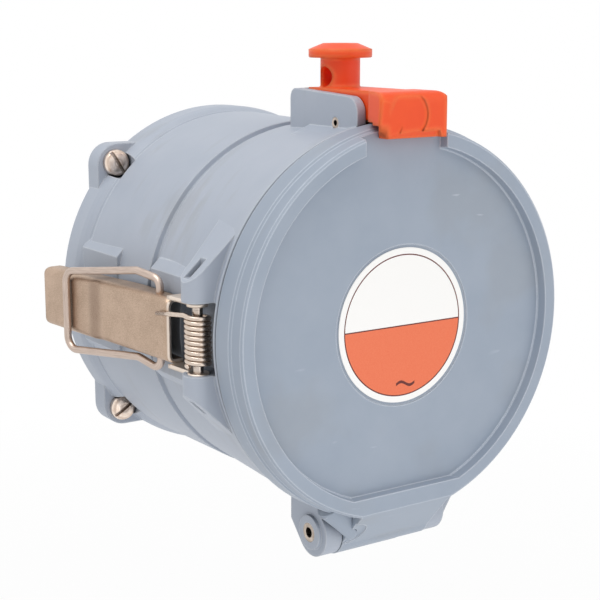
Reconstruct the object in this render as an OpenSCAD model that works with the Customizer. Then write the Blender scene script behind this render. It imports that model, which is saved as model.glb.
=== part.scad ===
// Industrial socket outlet: a moulded round body on a four-lug mounting flange,
// a hinged front lid held shut by a sprung pawl, and a draw latch on each side.
// The mounting face lies in the XZ plane with its centre at the origin.
// The mouth faces -Y and +Z is up, so a forward distance h lies at y = -h.

/* [Body] */
// Distance from the mounting face to the front face of the mouth
body_len = 136.5; // [125:0.5:160]
// Radius of the front band at the mouth
mouth_r = 79.2; // [72:0.1:90]
// Height of the rear rim above the mouth's radius
rim_step = 1.4; // [0.8:0.1:3]
// Length of the rear rim
rim_len = 17; // [15:0.5:22]
// Drop of the middle band below the mouth's radius
mid_drop = 0.8; // [0.2:0.1:1.5]
// Taper of the middle band towards the front
mid_taper = 0.8; // [0.2:0.1:1.5]
// Distance from the mounting face to the second groove
groove_h = 76.3; // [60:0.1:82]
// Depth of the second groove
groove_d = 2.2; // [0.8:0.1:2.5]
// Drop of the front band's rear end below the mouth's radius
neck_drop = 2.4; // [1:0.1:3.5]
// Flare of the mouth's front edge past its radius
mouth_flare = 1.2; // [0.4:0.1:1.5]
// Length of that flare
mouth_flare_len = 8; // [5:0.5:12]
// Wall between the mouth's radius and its bore
mouth_wall = 13.2; // [12:0.1:16]
// Wall between the rear rim and the wiring chamber
rim_wall = 12.6; // [11.5:0.1:15]
// Distance from the mounting face to the inner shelf
shelf_h = 44; // [36:0.5:50]
// Thickness of the inner shelf
shelf_t = 8; // [5:0.5:12]
// Width of the inner shelf
shelf_w = 12; // [10:0.5:15]
// Small chamfer on moulded edges
edge = 1; // [0.4:0.1:1.5]

/* [Mounting flange] */
// Margin of the lugs round the screws
lug_margin = 8.5; // [8:0.1:11]
// Corner radius of the lugs
lug_corner_r = 10; // [6:0.5:14]
// Thickness of the lugs
lug_t = 10; // [8:0.5:13]
// Sideways reach of the screws past the rim, along the diagonal
screw_reach_x = 1.4; // [0.5:0.1:3]
// Upward reach of the screws past the rim, along the diagonal
screw_reach_z = 0; // [-1:0.1:3]
// Thread radius of the flange screws
screw_r = 3; // [2.5:0.1:3.1]
// Neck radius of the flange screws in the lugs
screw_neck_r = 3.3; // [3.2:0.1:3.8]
// Length of neck behind the mounting face
screw_neck_out = 1; // [0.6:0.1:2]
// Head radius of the flange screws
screw_head_r = 6; // [5:0.1:6.5]
// Head height of the flange screws
screw_head_t = 4; // [3:0.1:5]
// Width of the driver slot
screw_slot_w = 1.6; // [1:0.1:2]
// Length of screw that stands out of the mounting face
screw_out = 6; // [4:0.5:9]
// Radial clearance of the flange screws
screw_clear = 0.3; // [0.1:0.05:0.5]
// Radial clearance round the screw heads
head_clear = 0.7; // [0.4:0.1:1.2]
// Turn of each driver slot
screw_turns = [-58, 15, 34, -70];

/* [Seals] */
// Distance from the bore to the middle of the mouth seal
mouth_seal_in = 4.5; // [3.5:0.1:5]
// Width of the mouth seal
mouth_seal_w = 3.5; // [2.5:0.1:4]
// Depth of the mouth seal's groove
mouth_seal_d = 3; // [2:0.1:4]
// Distance from the chamber to the middle of the flange seal
flange_seal_in = 6; // [5:0.1:7]
// Width of the flange seal
flange_seal_w = 3.5; // [2.5:0.1:4]
// Depth of the flange seal's groove
flange_seal_d = 2.5; // [2:0.1:4]

/* [Lid] */
// Gap between the mouth and the lid
lid_gap = 1; // [0.6:0.1:1.5]
// Length of the lid along the axis
lid_len = 15.5; // [14:0.5:20]
// Reach of the lid past the mouth's radius
lid_over = 1.6; // [0.8:0.1:2.5]
// Length of the lid's wide rear band
lid_band_len = 9.6; // [8:0.1:10.5]
// Step from the lid's rear band in to its front rim
lid_step = 2.8; // [2:0.1:4]
// Width of the bevels along the lid's edges
lid_bevel = 0.9; // [0.5:0.1:1.2]
// Width of the raised front rim
lid_rim_w = 5.2; // [4:0.1:7]
// Depth of the front recess
recess_d = 4.5; // [3.5:0.1:5]
// Thickness of the lid's plate
plate_t = 4; // [3:0.1:5]
// Rise of the front rim's flat lower edge above the lid's radius
rim_rise = 6.2; // [5.5:0.1:7.5]
// Rise of the recess's flat lower edge above the rim's
recess_rise = 7; // [6:0.1:9]
// Wall between the lid's radius and the hollow behind its plate
lid_wall = 14.8; // [13:0.1:18]
// Left reach of the notch in the rim
notch_left = 22.5; // [21.5:0.5:25]
// Right reach of the notch in the rim
notch_right = 17; // [16.8:0.1:20]
// Radius of the rating label
label_r = 31.6; // [26:0.1:36]
// Thickness of the rating label
label_t = 0.4; // [0.2:0.1:0.5]
// Depth of the label's seat
label_seat_d = 0.7; // [0.6:0.1:1.2]
// Width of the open ring round the label
label_margin = 1.3; // [0.5:0.1:2]

/* [Lid hinge] */
// Distance from the lid's rim down to the hinge pin
hinge_clear = 6.2; // [5.8:0.1:9]
// Distance from the lid's back to the hinge pin
hinge_back = 9; // [9:0.1:11]
// Radius of the knuckle and the ears
knuckle_r = 10.8; // [9.5:0.1:11.2]
// Width of the lid's knuckle
knuckle_w = 44.6; // [40:0.1:50]
// Thickness of each hinge ear
hinge_ear_t = 8; // [6:0.1:10]
// Radius of the round end of each hinge ear
hinge_ear_r = 10.4; // [9.5:0.1:10.6]
// Outward flare of the right ear's front corner
hinge_flare = 7.6; // [4:0.1:9]
// Depth of each ear behind the hinge pin
hinge_ear_back = 15.5; // [12:0.5:20]
// Height of the round boss on each ear
hinge_boss_t = 1.5; // [0.8:0.1:3]
// Radius of the round boss on each ear
hinge_boss_r = 7.3; // [6:0.1:7.5]
// Radius of the hinge pin
hinge_pin_r = 4; // [3:0.1:4.5]
// Radius of the hinge pin's hollow
hinge_pin_hole_r = 2.2; // [1:0.1:2.5]
// Side clearance of the knuckle
knuckle_clear = 0.4; // [0.2:0.1:0.8]
// Width of the shallow cut under the knuckle's right end
knuckle_cut_w = 13.6; // [6:0.1:14]
// Depth of that cut
knuckle_cut_d = 2; // [0.8:0.1:2.2]
// Radius of the stepped hollow at the left of the web
web_hollow_r = 7.5; // [5:0.1:8]
// Depth of each step of that hollow
web_hollow_d = 0.6; // [0.3:0.1:0.8]
// Clearance round the knuckle in the body
knuckle_relief = 0.8; // [0.4:0.1:1.2]

/* [Pawl] */
// Half width of the slot between the bracket's ears
slot_half_w = 11; // [9:0.5:12.5]
// Thickness of each bracket ear
bracket_t = 4; // [3:0.1:6]
// Length of the bracket
bracket_len = 47.5; // [44:0.5:52]
// Height of the bracket's front above the lid's rim
bracket_top = 9.8; // [8:0.1:11]
// Rise of the bracket's top towards the rear
bracket_rise = 1.8; // [0.5:0.1:2]
// Thickness of the bracket's rear wall
bracket_wall = 3.5; // [2:0.1:5]
// Front corner radius of the bracket
bracket_round = 7; // [4:0.5:8]
// Rear corner radius of the bracket
bracket_rear_round = 4; // [1:0.5:5]
// Distance from the mouth's face back to the pawl pin
pawl_pin_back = 15; // [13:0.5:18]
// Distance of the pawl pin below the lid's rim
pawl_pin_drop = 1.1; // [0.5:0.1:2]
// Radius of the pawl pin
pawl_pin_r = 2.25; // [1.5:0.05:2.4]
// Radius of the pawl pin's hollow
pawl_pin_hole_r = 1.2; // [0.5:0.1:1.3]
// Outer radius of the pawl's eye
pawl_eye_r = 5.2; // [4.6:0.1:5.4]
// Side clearance of the pawl in its slot
pawl_clear = 0.4; // [0.2:0.1:0.8]
// Depth of the slot below the pawl's eye
slot_below = 0.8; // [0.5:0.1:1.5]
// Thickness of the thumb plate
thumb_plate_t = 6; // [4:0.1:7]
// Height of the thumb plate's top above the lid's rim
thumb_plate_top = 12; // [11.8:0.1:13]
// Gap between the thumb plate and the bracket's rear wall
thumb_gap = 3.6; // [3.2:0.1:4.5]
// Distance from the pawl pin back to the knob's axis
knob_back = 17.9; // [15:0.1:18.5]
// Radius of the knob's post
knob_post_r = 8.2; // [6.5:0.1:8.6]
// Height of the knob's post
knob_post_t = 12.1; // [11:0.1:18]
// Radius of the knob's head
knob_head_r = 13.1; // [10:0.1:14]
// Height of the knob's head
knob_head_t = 5.8; // [3.5:0.1:7]
// Radius of the padlock hole
padlock_r = 4.2; // [2.5:0.1:4.5]
// Left reach of the hook
hook_left = 18.7; // [16:0.1:19.5]
// Right reach of the hook
hook_right = 14.4; // [13:0.1:15.8]
// Reach of the hook in front of the lid's rim
hook_out = 4; // [2:0.1:6]
// Height of the hook above the lid's rim
hook_top = 12.4; // [11:0.1:14]
// Overlap of the hook's lip below the lid's rim
hook_overlap = 5.4; // [4:0.1:7]
// Depth of the round step in the hook's face
hook_dish_d = 0.8; // [0.3:0.1:1]
// Radius of the round step in the hook's face
hook_dish_r = 9; // [7:0.5:11]
// Clearance between the hook and the lid
hook_clear = 0.7; // [0.4:0.1:1.2]
// Gap between the bracket's ears and the hook
hook_back_gap = 3; // [2.8:0.1:4]
// Wire radius of the pawl's return spring
pawl_spring_wire_r = 0.6; // [0.4:0.05:0.8]
// Number of turns of the pawl's return spring
pawl_spring_turns = 5; // [3:1:6]
// Radial gap between the pawl's pin and its spring
pawl_spring_gap = 0.3; // [0.2:0.05:0.5]

/* [Draw latches] */
// Distance from the mouth's radius out to the lever pin
lever_pin_out = 2.8; // [2.2:0.1:3.5]
// Distance from the mouth's face back to the lever pin
lever_pin_back = 9.8; // [9:0.1:12]
// Height of the latches' middle above the axis
latch_up = 0.7; // [0:0.1:1.5]
// Radius of the lever pin
lever_pin_r = 2; // [1.5:0.1:2.2]
// Half length of the lever pin
lever_pin_half = 24; // [21:0.5:26]
// Outward lean of the resting lever
lever_lean = 5.5; // [5:0.1:7]
// Half height of the lever
lever_half_h = 13; // [11:0.1:13.2]
// Thickness of the lever's sheet
lever_t = 1.5; // [1:0.1:1.8]
// Offset of the lever's face outside its pin
lever_face = 1.9; // [1.5:0.1:2.5]
// Distance from the pin to the front edge of the lever's face
lever_front = 17.5; // [15:0.5:20]
// Distance from the pin to the free end
lever_len = 113; // [100:0.5:116]
// Distance from the pin to the middle of the lever's step
lever_step_s = 71.6; // [64:0.1:74]
// Length of the lever's step
lever_step_len = 5.2; // [3:0.1:7]
// Height of the lever's step
lever_step = 1.2; // [0.5:0.1:1.6]
// Depth of the side walls inside the pin line, at the front of the face
lever_neck_wall = 5.2; // [4:0.1:5.4]
// Depth of the side walls inside the pin line, behind the bail's pivot
lever_wall = 8; // [6:0.1:8.2]
// Depth of the side walls at the free end
lever_tail_wall = 4.2; // [2:0.1:6]
// Radius of the lever's eyes
lever_eye_r = 4.2; // [3.6:0.1:4.5]
// Corner radius of the side walls at the free end
lever_corner_r = 3; // [1:0.5:4]
// Distance from the lever pin to the bail's pivot
bail_pivot_s = 30; // [28:0.5:34]
// Distance of the bail's pivot inside the pin line
bail_pivot_in = 2.9; // [2.6:0.1:3.2]
// Radius of the bail's wire
bail_wire_r = 1.6; // [1.2:0.05:1.7]
// Length of the bail from its pivot
bail_len = 61; // [56:0.1:64]
// Distance from the bail's pivot to the bend in its legs
bail_knee = 14; // [12:0.5:18]
// Half width of the bail at its eyes
bail_eye_half = 18.6; // [18.2:0.1:19.5]
// Half width of the bail at the bend in its legs
bail_knee_half = 17.9; // [17.8:0.1:19]
// Half width of the bail at its closed end
bail_end_half = 17; // [16:0.1:18]
// Skew of the bail in its eyes
bail_skew = 2.6; // [0:0.1:2.7]
// Bend radius of the bail's legs and closed end
bail_bend_r = 5.5; // [3:0.1:5.8]
// Bend radius of the bail at its eyes
bail_eye_bend_r = 4; // [3:0.1:4.2]
// Gap between the parked bail and the lever
bail_gap = 0.3; // [0.2:0.05:0.6]
// Wire radius of the lever spring
spring_wire_r = 0.95; // [0.6:0.05:1]
// Mean radius of the lever spring's coil
spring_r = 4.4; // [3.8:0.05:4.6]
// Number of turns of the lever spring
spring_turns = 10; // [6:1:10]
// Drop of the lever spring's straight leg towards its end
spring_leg_drop = 2.7; // [0:0.1:4]
// Radius of the body's ears round the lever pin
seat_ear_r = 6.2; // [5:0.1:6.5]
// Gap between the lever's upper eye and the body's upper ear
seat_gap_up = 1.8; // [0.5:0.1:2.4]
// Gap between the lever's lower eye and the body's lower ear
seat_gap_low = 0.5; // [0.3:0.1:2]
// Height above the latch's middle at which the ears' ramps meet the body
seat_ramp_top = 45; // [40:0.5:46]
// Straight height of the ears before their ramps
seat_ear_h = 8; // [4:0.1:10]
// Rearward spread of the ears' ramps behind the lever pin
seat_ramp_back = 12.5; // [8:0.5:14]
// Reach of the open slot over each end of the lever pin, inside the pin line
seat_slot_in = 3.1; // [2:0.1:5]
// Depth of the spring's pocket inside the pin line
pocket_d = 9.5; // [8:0.1:10]
// Thickness of the pocket's front wall
pocket_wall = 1.5; // [1.2:0.1:2]
// Half height of the flat pads under the lever
pad_half_h = 21; // [18:0.5:23]
// Distance of the flat pads inside the pin line
pad_in = 4.6; // [4:0.1:5.5]
// Radial clearance of every pin and pivot
pin_clear = 0.05; // [0.02:0.01:0.1]

/* [Contacts] */
// Length of the insulator's boss in front of its foot
boss_len = 62; // [50:0.5:70]
// Gap between the insulator's boss and the shelf's opening
boss_in = 8; // [6:0.5:10]
// Thickness of the insulator's foot
foot_t = 8; // [6:0.5:10]
// Clearance of the insulator's foot in the bore
foot_clear = 0.3; // [0.1:0.05:0.6]
// Radius of the circle of contacts
contact_circle_r = 28; // [25:0.5:30]
// Outer radius of a phase contact's sleeve
phase_sleeve_r = 7.5; // [6.5:0.1:8.5]
// Bore radius of a phase contact's sleeve
phase_bore_r = 5.1; // [4:0.1:5.5]
// Outer radius of the earth contact's sleeve
earth_sleeve_r = 8.5; // [7.5:0.1:9.5]
// Bore radius of the earth contact's sleeve
earth_bore_r = 6.1; // [5:0.1:6.5]
// Outer radius of the pilot contact's sleeve
pilot_sleeve_r = 4.5; // [4:0.1:6]
// Bore radius of the pilot contact's sleeve
pilot_bore_r = 3.1; // [2:0.1:3.4]
// Depth of a sleeve's bore
sleeve_bore_d = 46; // [30:0.5:50]
// Distance of the sleeves behind the boss's face
sleeve_set_back = 1; // [0.5:0.1:3]
// Radial clearance of the sleeves in the insulator
sleeve_clear = 0.05; // [0.02:0.01:0.1]
// Extra radius of a contact's terminal
terminal_extra = 2; // [1:0.1:3]
// Length of a contact's terminal
terminal_len = 30; // [24:0.5:36]
// Radius of a terminal's wire hole
wire_hole_r = 6.5; // [4:0.1:7]
// Depth of a terminal's wire hole
wire_hole_d = 24; // [18:0.5:26]
// Radius of the terminal screws
terminal_screw_r = 3; // [2:0.1:3.5]
// Distance between the two screws of a terminal
terminal_screw_gap = 11; // [8:0.5:12]
// Shank radius of the insulator's fixing screws
foot_screw_r = 2; // [1.5:0.1:2.5]
// Half width of the insulator's keyway
key_half_w = 5; // [3:0.5:7]
// Depth of the insulator's keyway
key_d = 5; // [3:0.5:6]

/* [Hidden] */
$fn = 64;
eps = 0.01;
wire_sides = 6;
wire_steps = 14;

// Radii of the body and the lid, all hung on the mouth
rim_r = mouth_r + rim_step;
mid_r = mouth_r - mid_drop;
mid_front_r = mid_r - mid_taper;
groove_r = mid_front_r - groove_d;
neck_r = mouth_r - neck_drop;
bore_r = mouth_r - mouth_wall;
chamber_r = rim_r - rim_wall;
shelf_bore_r = bore_r - shelf_w;
boss_r = shelf_bore_r - boss_in;
mouth_seal_r = bore_r + mouth_seal_in;
flange_seal_r = chamber_r + flange_seal_in;
lid_r = mouth_r + lid_over;
lid_front_r = lid_r - lid_step;
lid_hollow_r = lid_r - lid_wall;
rim_flat = lid_r - rim_rise;
recess_flat = rim_flat - recess_rise;
screw_x = (rim_r + screw_reach_x) * sqrt(0.5);
screw_z = (rim_r + screw_reach_z) * sqrt(0.5);

// Places along the axis, in front of the mounting face
lid_back_h = body_len + lid_gap;
lid_front_h = lid_back_h + lid_len;
floor_h = lid_front_h - recess_d;
shelf_front_h = shelf_h + shelf_t;
foot_front_h = shelf_front_h + foot_t;
boss_front_h = foot_front_h + boss_len;

// Lid hinge, pawl and lever pins
hinge_h = lid_back_h - hinge_back;
hinge_z = -(lid_r + hinge_clear);
hinge_in = knuckle_w / 2 + knuckle_clear;
hinge_out = hinge_in + hinge_ear_t;
pawl_h = body_len - pawl_pin_back;
pawl_z = lid_r - pawl_pin_drop;
bracket_z = lid_r + bracket_top;
bracket_rear_z = bracket_z + bracket_rise;
bracket_h = body_len - bracket_len;
slot_z = pawl_z - pawl_eye_r - slot_below;
pawl_half_w = slot_half_w - pawl_clear;
thumb_z = lid_r + thumb_plate_top;
knob_h = pawl_h - knob_back;
hook_h = body_len + hook_back_gap;
hook_front_h = lid_front_h + hook_out;
pawl_spring_half = (1.05 * pawl_spring_turns + 1) * pawl_spring_wire_r;
lever_x = mouth_r + lever_pin_out;
lever_h = body_len - lever_pin_back;
seat_up = lever_half_h + seat_gap_up;
seat_low = lever_half_h + seat_gap_low;

// Bail angle that lays its closed end on the lever's stepped face
bail_rest_x = lever_face + lever_step + bail_wire_r + bail_gap;
bail_angle = asin((bail_rest_x + bail_pivot_in) / bail_len);

// Contact places by name: turn about the axis, sleeve radius and bore radius
contact_turns = [180, 90, 0];
earth_turn = -90;
foot_screw_turns = [45, 135, 225, 315];
foot_screw_circle_r = (shelf_bore_r + bore_r) / 2;

body_colour = "#A5B2C0";
pawl_colour = "#F4562B";
steel_colour = "#BBA898";
seal_colour = "#2B2C2E";
insulator_colour = "#3A3C40";
brass_colour = "#C9A35A";
label_colour = "#F4F2EE";

// Draws along the axis: local z is the distance in front of the mounting face.
module forward(h = 0) {
    translate([0, -h, 0]) rotate([90, 0, 0]) children();
}

// Extrudes a side outline, drawn as forward distance and height, evenly about x = 0.
module side_outline(width) {
    rotate([90, 0, -90]) linear_extrude(width, center = true) children();
}

// Puts children on an axis across the part, at a forward distance and a height.
module across(h, z) {
    translate([0, -h, z]) rotate([0, 90, 0]) children();
}

// A ring cut or solid between two radii, from one forward distance to another.
module ring(r_in, r_out, h0, h1) {
    forward(h0) difference() {
        cylinder(h = h1 - h0, r = r_out);
        translate([0, 0, -eps]) cylinder(h = h1 - h0 + 2 * eps, r = r_in);
    }
}

// A rectangle with round corners, centred.
module round_rectangle(width, height, r) {
    square([width, height - 2 * r], center = true);
    square([width - 2 * r, height], center = true);
    for (sx = [-1, 1], sz = [-1, 1]) {
        translate([sx * (width / 2 - r), sz * (height / 2 - r)]) circle(r);
    }
}

// A plate outline from a0 to a1 and b0 to b1 with two round upper corners.
module round_top(a0, a1, b0, b1, r0, r1) {
    translate([a0, b0]) square([a1 - a0, b1 - b0 - max(r0, r1)]);
    translate([a0 + r0, b0]) square([a1 - a0 - r0 - r1, b1 - b0]);
    translate([a0, b0]) square([r0, b1 - b0 - r0]);
    translate([a1 - r1, b0]) square([r1, b1 - b0 - r1]);
    translate([a0 + r0, b1 - r0]) circle(r0);
    translate([a1 - r1, b1 - r1]) circle(r1);
}

// Puts children at each of the four flange screws.
module at_flange_screws() {
    for (sx = [-1, 1], sz = [-1, 1]) {
        translate([sx * screw_x, 0, sz * screw_z]) children();
    }
}

// Turned form of the rear body: rim, middle band, half of the second groove, shelf and bores.
module rear_turning() {
    forward() rotate_extrude($fn = 160) polygon([
        [chamber_r, 0],
        [rim_r - edge, 0],
        [rim_r, edge],
        [rim_r, rim_len - 6],
        [rim_r - 0.3 * (rim_r - mid_r), rim_len - 3.5],
        [mid_r + 0.2, rim_len - 0.8],
        [mid_r - 0.7, rim_len],
        [mid_r - 0.7, rim_len + 1],
        [mid_r, rim_len + 1.9],
        [mid_front_r, groove_h - 1.4],
        [groove_r, groove_h - 0.9],
        [groove_r, groove_h],
        [bore_r, groove_h],
        [bore_r, shelf_front_h],
        [shelf_bore_r, shelf_front_h],
        [shelf_bore_r, shelf_h],
        [chamber_r, shelf_h]
    ]);
}

// Turned form of the mouth collar: the other half of the groove, front band and flared mouth.
module collar_turning() {
    flare_r = mouth_r + mouth_flare;
    forward() rotate_extrude($fn = 160) polygon([
        [bore_r, groove_h],
        [groove_r, groove_h],
        [groove_r, groove_h + 0.5],
        [neck_r, groove_h + 3.2],
        [mouth_r, body_len - mouth_flare_len],
        [flare_r, body_len - edge],
        [flare_r - edge, body_len],
        [bore_r, body_len]
    ]);
}

// One left ear for the lever pin: a round boss from a height z0 up, with a ramp to the body.
module lever_ear(z0) {
    ramp_x = lever_x + seat_ear_r;
    ramp_z = z0 + seat_ear_h;
    ramp_in = sqrt(pow(mouth_r, 2) - pow(seat_ramp_top, 2)) - 2;
    intersection() {
        linear_extrude(seat_ramp_top) union() {
            translate([-lever_x, -lever_h]) circle(seat_ear_r);
            polygon([
                [-lever_x, -lever_h + seat_ear_r],
                [-ramp_in, -lever_h + seat_ramp_back],
                [-ramp_in, -lever_h - seat_ear_r],
                [-lever_x, -lever_h - seat_ear_r]
            ]);
        }
        forward() linear_extrude(body_len) polygon([
            [-ramp_x - 1, z0],
            [-ramp_x - 1, ramp_z],
            [-ramp_x, ramp_z],
            [-ramp_in, seat_ramp_top],
            [-ramp_in, z0]
        ]);
    }
}

// Left pair of moulded ears, above and below the lever.
module lever_ears() {
    translate([0, 0, latch_up]) {
        lever_ear(seat_up);
        mirror([0, 0, 1]) lever_ear(seat_low);
    }
}

// Left flat pad that the lever lies over, from one forward distance to another.
module lever_pad(h0, h1) {
    pad_x = lever_x - pad_in;
    inner_x = pad_x - 8;
    forward(h0) linear_extrude(h1 - h0) polygon([
        [-pad_x, -pad_half_h],
        [-pad_x, pad_half_h],
        [-pad_x + 4, pad_half_h + 4],
        [-inner_x, pad_half_h + 4],
        [-inner_x, -pad_half_h - 4],
        [-pad_x + 4, -pad_half_h - 4]
    ]);
}

// Pocket for the spring, bore for the pin and open slots over its ends, on the left.
module lever_seat_cut() {
    translate([0, 0, latch_up]) {
        translate([-lever_x - 20, -body_len + pocket_wall, -seat_low])
            cube([pocket_d + 20, lever_pin_back + 20, seat_up + seat_low]);
        translate([-lever_x, -lever_h, 0])
            cylinder(h = 2 * seat_ramp_top, r = lever_pin_r + pin_clear, center = true);
        for (side = [-1, 1])
            translate([-lever_x - seat_ear_r - 1, -lever_h - lever_pin_r, side * lever_pin_half])
                mirror([0, 0, side > 0 ? 0 : 1])
                cube([seat_ear_r + 1 + seat_slot_in, 2 * lever_pin_r, seat_ramp_top]);
    }
}

// Two-eared bracket for the pawl, closed behind, with its low foot.
module pawl_bracket() {
    outer = slot_half_w + bracket_t;
    front = body_len - bracket_round;
    rear = bracket_h + bracket_rear_round;
    foot_z = bore_r + 2;
    side_outline(2 * outer) {
        polygon([
            [bracket_h, foot_z],
            [bracket_h, bracket_rear_z - bracket_rear_round],
            [rear, bracket_rear_z],
            [front, bracket_z],
            [body_len, bracket_z - bracket_round],
            [body_len, foot_z]
        ]);
        translate([rear, bracket_rear_z - bracket_rear_round]) circle(bracket_rear_round);
        translate([front, bracket_z - bracket_round]) circle(bracket_round);
    }
    forward(bracket_h + 14) linear_extrude(bracket_len - 14) polygon([
        [-outer - 9, foot_z],
        [-outer - 9, mouth_r - 4.8],
        [-outer, mouth_r - 1.2],
        [outer, mouth_r - 1.2],
        [outer + 9, mouth_r - 4.8],
        [outer + 9, foot_z]
    ]);
}

// Hinge ears below the mouth, each with a round boss.
module hinge_ears() {
    root_z = -mouth_r + 8;
    front = body_len - edge;
    for (side = [-1, 1]) {
        translate([side * (hinge_in + hinge_ear_t / 2), 0, 0]) side_outline(hinge_ear_t) {
            polygon([
                [hinge_h - hinge_ear_back, root_z],
                [hinge_h - hinge_ear_back, hinge_z + 1.6],
                [hinge_h - hinge_ear_r * 0.8, hinge_z - hinge_ear_r * 0.6],
                [hinge_h, hinge_z],
                [front, hinge_z - hinge_ear_r * 0.6],
                [front, root_z]
            ]);
            translate([hinge_h, hinge_z]) circle(hinge_ear_r);
        }
        translate([side * hinge_out, 0, 0]) across(hinge_h, hinge_z)
            cylinder(h = 2 * hinge_boss_t, r = hinge_boss_r, center = true);
    }
    // Flared front corner of the right ear that runs out into the body
    translate([hinge_out, 0, 0]) forward(front - 12) linear_extrude(12) polygon([
        [-hinge_ear_t, root_z],
        [-hinge_ear_t, hinge_z - 8],
        [-4.5, hinge_z - 7.9],
        [-0.9, hinge_z - 7.2],
        [1.3, hinge_z - 5],
        [hinge_flare * 0.53, hinge_z - 0.5],
        [hinge_flare, hinge_z + 5.2],
        [hinge_flare, root_z]
    ]);
}

// Rear body with the mounting lugs, the wiring chamber and the shelf.
module housing() {
    color(body_colour) difference() {
        union() {
            rear_turning();
            forward() linear_extrude(lug_t) difference() {
                round_rectangle(2 * (screw_x + lug_margin), 2 * (screw_z + lug_margin), lug_corner_r);
                circle(chamber_r + eps);
            }
            for (side = [0, 1]) mirror([side, 0, 0]) lever_pad(rim_len - 2, rim_len + 32);
        }
        ring(flange_seal_r - flange_seal_w / 2, flange_seal_r + flange_seal_w / 2,
             -1, flange_seal_d);
        // Holes for the flange screws and room for their heads
        at_flange_screws() forward(-1) cylinder(h = lug_t + 2, r = screw_neck_r + screw_clear);
        at_flange_screws() forward(lug_t) cylinder(h = 9, r = screw_head_r + head_clear);
        // Holes for the insulator's screws
        for (turn = foot_screw_turns) rotate([0, -turn, 0]) translate([foot_screw_circle_r, 0, 0])
            forward(shelf_h - 1) cylinder(h = shelf_t + 2, r = foot_screw_r + pin_clear, $fn = 32);
    }
}

// Front body: the mouth with its latch ears, pawl bracket and hinge ears.
module mouth_collar() {
    color(body_colour) difference() {
        union() {
            collar_turning();
            for (side = [0, 1]) mirror([side, 0, 0]) {
                lever_pad(groove_h + 4, lever_h - 6);
                lever_ears();
            }
            pawl_bracket();
            hinge_ears();
        }
        forward(groove_h) cylinder(h = body_len, r = bore_r, $fn = 160);
        for (side = [0, 1]) mirror([side, 0, 0]) lever_seat_cut();
        // Slot between the bracket's ears, open in front
        translate([-slot_half_w, -body_len - 1, slot_z])
            cube([2 * slot_half_w, bracket_len - bracket_wall + 1, bracket_rear_z - slot_z + 1]);
        across(pawl_h, pawl_z)
            cylinder(h = 3 * slot_half_w + 4 * bracket_t, r = pawl_pin_r + pin_clear, center = true);
        // Room for the lid's knuckle and bore for its pin
        across(hinge_h, hinge_z)
            cylinder(h = 2 * hinge_in, r = knuckle_r + knuckle_relief, center = true);
        across(hinge_h, hinge_z)
            cylinder(h = 3 * hinge_out, r = hinge_pin_r + pin_clear, center = true);
        ring(mouth_seal_r - mouth_seal_w / 2, mouth_seal_r + mouth_seal_w / 2,
             body_len - mouth_seal_d, body_len + 1);
    }
}

// One slotted pan-head screw, its slot at a turn from level.
module flange_screw(slot_turn) {
    difference() {
        union() {
            forward(lug_t) rotate_extrude() polygon([
                [0, 0],
                [screw_head_r - 0.3, 0],
                [screw_head_r, 0.3],
                [screw_head_r, screw_head_t * 0.5],
                [screw_head_r * 0.93, screw_head_t * 0.76],
                [screw_head_r * 0.75, screw_head_t * 0.92],
                [screw_head_r * 0.45, screw_head_t],
                [0, screw_head_t]
            ]);
            forward(-screw_neck_out) cylinder(h = screw_neck_out + lug_t, r = screw_neck_r);
            forward(-screw_out) cylinder(h = screw_out, r = screw_r);
        }
        forward(lug_t + screw_head_t * 0.55) rotate([0, 0, slot_turn])
            translate([-screw_head_r - 1, -screw_slot_w / 2, 0])
            cube([2 * screw_head_r + 2, screw_slot_w, screw_head_t]);
    }
}

module flange_screws() {
    signs = [[-1, 1], [1, 1], [-1, -1], [1, -1]];
    color(steel_colour) for (i = [0 : 3])
        translate([signs[i][0] * screw_x, 0, signs[i][1] * screw_z])
            flange_screw(screw_turns[i]);
}

module flange_seal() {
    color(seal_colour)
        ring(flange_seal_r - flange_seal_w / 2 + 0.1, flange_seal_r + flange_seal_w / 2 - 0.1,
             0, flange_seal_d);
}

module mouth_seal() {
    color(seal_colour)
        ring(mouth_seal_r - mouth_seal_w / 2 + 0.1, mouth_seal_r + mouth_seal_w / 2 - 0.1,
             body_len - mouth_seal_d, lid_back_h - 0.3);
}

// Puts local z square to the web's slanted face, from the middle of its slope.
module web_face() {
    top = [lid_front_h, -rim_flat];
    foot = [hinge_h + knuckle_r * 0.55, hinge_z - knuckle_r * 0.835];
    slope = atan2(top[1] - foot[1], top[0] - foot[0]);
    translate([0, -(top[0] + foot[0]) / 2, (top[1] + foot[1]) / 2])
        rotate([180 - slope, 0, 0]) children();
}

// Side outline of the lid's knuckle: a web that slants back from the flat of the rim.
module knuckle_outline() {
    polygon([
        [lid_front_h, -rim_flat],
        [hinge_h + knuckle_r * 0.55, hinge_z - knuckle_r * 0.835],
        [hinge_h, hinge_z],
        [hinge_h + knuckle_r * 0.8, hinge_z + knuckle_r * 0.6],
        [lid_back_h, hinge_z + knuckle_r * 0.8],
        [lid_back_h, -lid_hollow_r],
        [lid_front_h, -lid_hollow_r]
    ]);
    translate([hinge_h, hinge_z]) circle(knuckle_r);
}

// Turned form of the lid, with its stepped side and raised front rim.
module lid_turning() {
    step_h = lid_back_h + lid_band_len;
    forward() rotate_extrude($fn = 160) polygon([
        [0, floor_h - plate_t],
        [lid_hollow_r, floor_h - plate_t],
        [lid_hollow_r, lid_back_h],
        [lid_r - 0.5, lid_back_h],
        [lid_r, lid_back_h + 0.5],
        [lid_r - 0.4, step_h - lid_bevel],
        [lid_r - 0.4 - lid_bevel, step_h],
        [lid_front_r + lid_bevel, lid_front_h - lid_bevel],
        [lid_front_r, lid_front_h],
        [0, lid_front_h]
    ]);
}

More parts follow.
